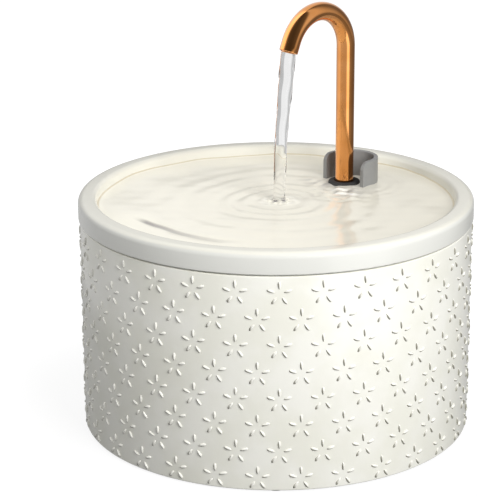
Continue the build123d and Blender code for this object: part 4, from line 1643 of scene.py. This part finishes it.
@dataclass
class Internals:
    """The pump, its case and the filter cartridge, which keep their shapes and get their finishes."""

    finishes: dict[Stock, tuple[str, ...]] = field(
        default_factory=lambda: {
            Stock.SILICONE: ("foot_pads", "riser_tube"),
            Stock.RUBBER: (
                "cord_grommet", "suction_cups", "adapter_o_rings", "volute_seal",
                "shield_washer", "cable_gland", "shaft_bushes",
            ),
            Stock.SHIELD: ("shield_nut", "spout_adapter"),
            Stock.CASE: ("pump_case", "case_lid"),
            Stock.WHITE: ("filter_front_shell", "filter_back_shell", "flow_dial", "impeller"),
            Stock.PUMP: ("pump_body", "pump_back_cover", "volute_cover"),
            Stock.FERRITE: ("rotor_magnet",),
            Stock.STEEL: ("impeller_shaft",),
            Stock.CORE: ("stator_core",),
            Stock.WINDING: ("stator_coil",),
        }
    )
    voxel: float = 1.0
    gap: float = 0.012
    unevenness: float = 0.01

    def build(self) -> None:
        """Dresses the nodes, and makes the soft pieces anew."""
        for finish, nodes in self.finishes.items():
            for node in nodes:
                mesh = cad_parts[node].data
                mesh.materials.clear()
                mesh.materials.append(finish.material())
        cotton = self._pad("cotton_mat", "cotton_pad", Stock.COTTON, "filter", "cotton", 4)
        self._pad("carbon_bed", "carbon_media", Stock.CARBON, "filter", "carbon", 3)
        sponge = self._pad("sponge_block", "prefilter_sponge", Stock.SPONGE, "base", "sponge", 3)

    def _pad(self, name: str, node: str, finish: Stock, body: str, slot: str, rounds: int) -> Piece:
        """Makes a soft piece in the room of its node.

        Args:
            name: The piece's name.
            node: The node that it stands for.
            finish: What it is made of.
            body: The body that carries it.
            slot: Its material slot.
            rounds: How often its edges are smoothed.
        Returns:
            The piece.
        """
        low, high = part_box(node)
        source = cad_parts[node].data.copy()
        work = bmesh.new()
        work.from_mesh(source)
        bmesh.ops.remove_doubles(work, verts=work.verts, dist=1e-6)
        work.to_mesh(source)
        work.free()
        piece = Piece(name, source, finish, 60)
        piece.modified("REMESH", mode="VOXEL", voxel_size=self.voxel * MM)
        middle = (low + high) / 2
        half = (high - low) / 2
        rng = np.random.default_rng(len(name))
        waves = [
            (Vector(rng.uniform(-1, 1, 3)).normalized(), rng.uniform(0.25, 0.6), rng.uniform(0, 6))
            for _ in range(6)
        ]
        for vertex in piece.object.data.vertices:
            offset = vertex.co - middle
            share = max(abs(offset[axis]) / half[axis] for axis in range(3))
            ripple = sum(math.sin(vertex.co.dot(way) / MM * rate + start) for way, rate, start in waves) / 6
            shrink = 1 - self.gap - self.unevenness * (ripple + 1) * share
            vertex.co = middle + offset * shrink
        piece.modified("SMOOTH", factor=0.5, iterations=rounds)
        return piece.ride(body, slot, node)


# ---------------------------------------------------------------- studio
@dataclass(frozen=True)
class Paper(Finish):
    """The white sweep that the fountain stands on, which keeps the fountain's shadow."""

    name: str = "white_sweep"
    colour: Colour = (0.16, 0.16, 0.16, 1.0)
    near_r: float = 112.0
    far_r: float = 230.0
    near_glow: float = 0.88
    in_gloss: float = 0.35

    def surface(self, graph: Graph) -> Value:
        """A matt sheet that is white to the camera, in glass and in metal, but for the shadow on it.

        Args:
            graph: The material's graph.
        Returns:
            The shader.
        """
        rays = graph.node("ShaderNodeLightPath", output="Is Camera Ray")
        mirrored = rays.output("Is Glossy Ray") * self.in_gloss
        seen = (rays + rays.output("Is Transmission Ray") + mirrored).clamped()
        away = graph.radius().rising(self.near_r, self.far_r) * (1.0 - self.near_glow) + self.near_glow
        matt = graph.node("ShaderNodeBsdfDiffuse", None, {"Color": self.colour})
        white = graph.node("ShaderNodeEmission", None, {"Color": (1, 1, 1, 1), "Strength": seen * away})
        return graph.node("ShaderNodeAddShader", None, {0: matt, 1: white})


@dataclass(frozen=True)
class Cards(Finish):
    """A drum of grey, black and white cards round the fountain, which only its gloss and its glass show.

    Each row gives an angle round the fountain, anticlockwise from the camera and in degrees, and the
    brightness of the cards there: low down, halfway up, and high up and overhead.
    """

    name: str = "studio_cards"
    camera_turn: float = 46.1224
    middle_y: float = 45.0
    low_z: Flat = (140.0, 160.0)
    high_z: Flat = (170.0, 220.0)
    rows: tuple[Colour, ...] = (
        (-180.0, 0.86, 0.25, 0.92),
        (-160.0, 0.86, 0.25, 0.92),
        (-150.0, 0.50, 0.30, 0.95),
        (-112.0, 0.90, 1.10, 1.90),
        (-79.0, 1.05, 1.20, 1.90),
        (-63.0, 0.74, 0.60, 0.40),
        (-50.0, 0.66, 0.30, 0.10),
        (-9.0, 0.62, 0.30, 0.07),
        (12.0, 0.66, 0.30, 0.08),
        (18.0, 1.75, 0.60, 0.09),
        (44.0, 1.75, 0.60, 0.12),
        (51.0, 0.45, 0.50, 0.20),
        (62.0, 0.32, 0.50, 0.75),
        (80.0, 0.24, 0.55, 0.80),
        (94.0, 0.20, 0.45, 0.48),
        (110.0, 0.17, 0.30, 0.22),
        (135.0, 0.17, 0.25, 0.18),
        (140.0, 0.44, 0.25, 0.30),
        (156.0, 0.46, 0.25, 0.75),
        (169.0, 0.52, 0.25, 0.90),
        (172.0, 0.86, 0.25, 0.92),
        (180.0, 0.86, 0.25, 0.92),
    )

    def surface(self, graph: Graph) -> Value:
        """The cards' brightness, from where they stand.

        Args:
            graph: The material's graph.
        Returns:
            The shader.
        """
        turn = math.radians(self.camera_turn)
        place = graph.vector("SUBTRACT", graph.place(), (0, self.middle_y, 0))
        ahead = graph.along((math.sin(turn), -math.cos(turn), 0.0), place)
        aside = graph.along((math.cos(turn), math.sin(turn), 0.0), place)
        height = graph.along((0, 0, 1), place)
        share = aside.turn_from(ahead) / TURN + 0.5
        tones = []
        for column in (1, 2, 3):
            stops = [((row[0] + 180) / 360, (row[column],) * 3 + (1.0,)) for row in self.rows]
            tones.append(graph.node("ShaderNodeValToRGB", {"stops": stops}, {"Fac": share}))
        lower = graph.mix(height.rising(*self.low_z), tones[0], tones[1])
        light = graph.mix(height.rising(*self.high_z), lower, tones[2])
        return graph.node("ShaderNodeEmission", None, {"Color": light, "Strength": 1.0})


@dataclass(frozen=True)
class Lamp:
    """A square area lamp aimed at the fountain, where a glow of 1 is as bright as white paper."""

    name: str
    place: Point
    size: float
    glow: float
    aim: Point = (0.0, 0.0, 90.0)

    def build(self) -> None:
        """Hangs the lamp."""
        data = bpy.data.lights.new(self.name, "AREA")
        data.shape = "SQUARE"
        data.size = self.size * MM
        data.energy = self.glow * math.pi * (self.size * MM) ** 2 * math.pi
        made = added(self.name, data)
        spot = Vector(self.place) * MM
        way = Vector(self.aim) * MM - spot
        made.visible_glossy = False
        made.matrix_world = Matrix.Translation(spot) @ way.to_track_quat("-Z", "Y").to_matrix().to_4x4()


@dataclass
class Studio:
    """The floor, the lamps, the world and the camera."""

    camera_place: Point = (717.514, -717.590, 425.325)
    camera_turn: float = 46.1224
    camera_height: float = 18.0446
    camera_roll: float = -0.35593
    lens: float = 143.976
    world_light: float = 0.24
    floor_half: float = 3000.0
    card_y: float = 45.0
    card_r: float = 300.0
    card_z: Flat = (0.5, 400.0)
    card_count: int = 96
    lamps: tuple[Lamp, ...] = (
        Lamp("key", (745, -177, 500), 460, 3.62),
        Lamp("top", (0, 0, 1100), 500, 0.2),
        Lamp("fill", (-420, -900, 540), 500, 1.05),
        Lamp("rear", (-500, 900, 400), 500, 1.05),
    )

    def build(self) -> None:
        """Sets up the studio."""
        half = self.floor_half
        floor = Form().prism([(-half, -half), (half, -half), (half, half), (-half, half)], -5.0, -0.05)
        self._stand("floor", floor, Paper())
        self._cards()
        self._world()
        for lamp in self.lamps:
            lamp.build()
        self._camera()
        bpy.context.scene.view_settings.view_transform = "Standard"

    def _stand(self, name: str, form: Form, finish: Finish) -> bpy.types.Object:
        """Makes an object that isn't part of the fountain.

        Args:
            name: The object's name.
            form: Its shape.
            finish: What it is made of.
        Returns:
            The object.
        """
        mesh = form.mesh(name)
        mesh.materials.append(finish.material())
        return added(name, mesh)

    def _cards(self) -> None:
        """The ring of cards, which lights nothing and hides nothing."""
        form = Form()
        count = self.card_count
        for height in self.card_z:
            for angle in (TURN * index / count for index in range(count)):
                x, y = self.card_r * math.cos(angle), self.card_y + self.card_r * math.sin(angle)
                form.points.append((x, y, height))
        for index in range(count):
            after = (index + 1) % count
            form.faces.append([index, after, count + after, count + index])
        form.faces.append(list(range(count, 2 * count)))
        made = self._stand("cards", form, Cards(camera_turn=self.camera_turn, middle_y=self.card_y))
        made.visible_camera = False
        made.visible_diffuse = False
        made.visible_shadow = False

    def _world(self) -> None:
        """An even world: its plain level lights the fountain, and white is seen behind it."""
        world = bpy.data.worlds.new("studio")
        bpy.context.scene.world = world
        graph = Graph.of(world)
        rays = graph.node("ShaderNodeLightPath", output="Is Camera Ray")
        seen = (rays + rays.output("Is Glossy Ray") + rays.output("Is Transmission Ray")).clamped()
        strength = seen * (1.0 - self.world_light) + self.world_light
        light = graph.node("ShaderNodeBackground", None, {"Color": (1, 1, 1, 1), "Strength": strength})
        graph.finish(light, "ShaderNodeOutputWorld")

    def _camera(self) -> None:
        """The camera, in front of the fountain's right-hand corner and a little above it."""
        data = bpy.data.cameras.new("camera")
        data.sensor_width = 36.0
        data.lens = self.lens
        data.clip_start = 0.05
        data.clip_end = 20
        made = added("camera", data)
        turn, rise, roll = map(math.radians, (self.camera_turn, self.camera_height, self.camera_roll))
        level = math.cos(rise)
        back = Vector((math.sin(turn) * level, -math.cos(turn) * level, math.sin(rise)))
        right = (-back).cross(Vector((0, 0, 1))).normalized()
        up = back.cross(right)
        across = right * math.cos(roll) + up * math.sin(roll)
        above_it = up * math.cos(roll) - right * math.sin(roll)
        facing = Matrix((across, above_it, back)).transposed().to_4x4()
        made.matrix_world = Matrix.Translation(Vector(self.camera_place) * MM) @ facing
        bpy.context.scene.camera = made


def main() -> None:
    """Builds the dressed fountain and its studio."""
    logging.basicConfig(level=logging.INFO, format="%(message)s")
    for assembly in (Bowl(), Tray(), Spout(), Shield(), Water(), Internals(), Studio()):
        assembly.build()
        log.info("built the %s", type(assembly).__name__.lower())


if __name__ == "__main__":
    main()
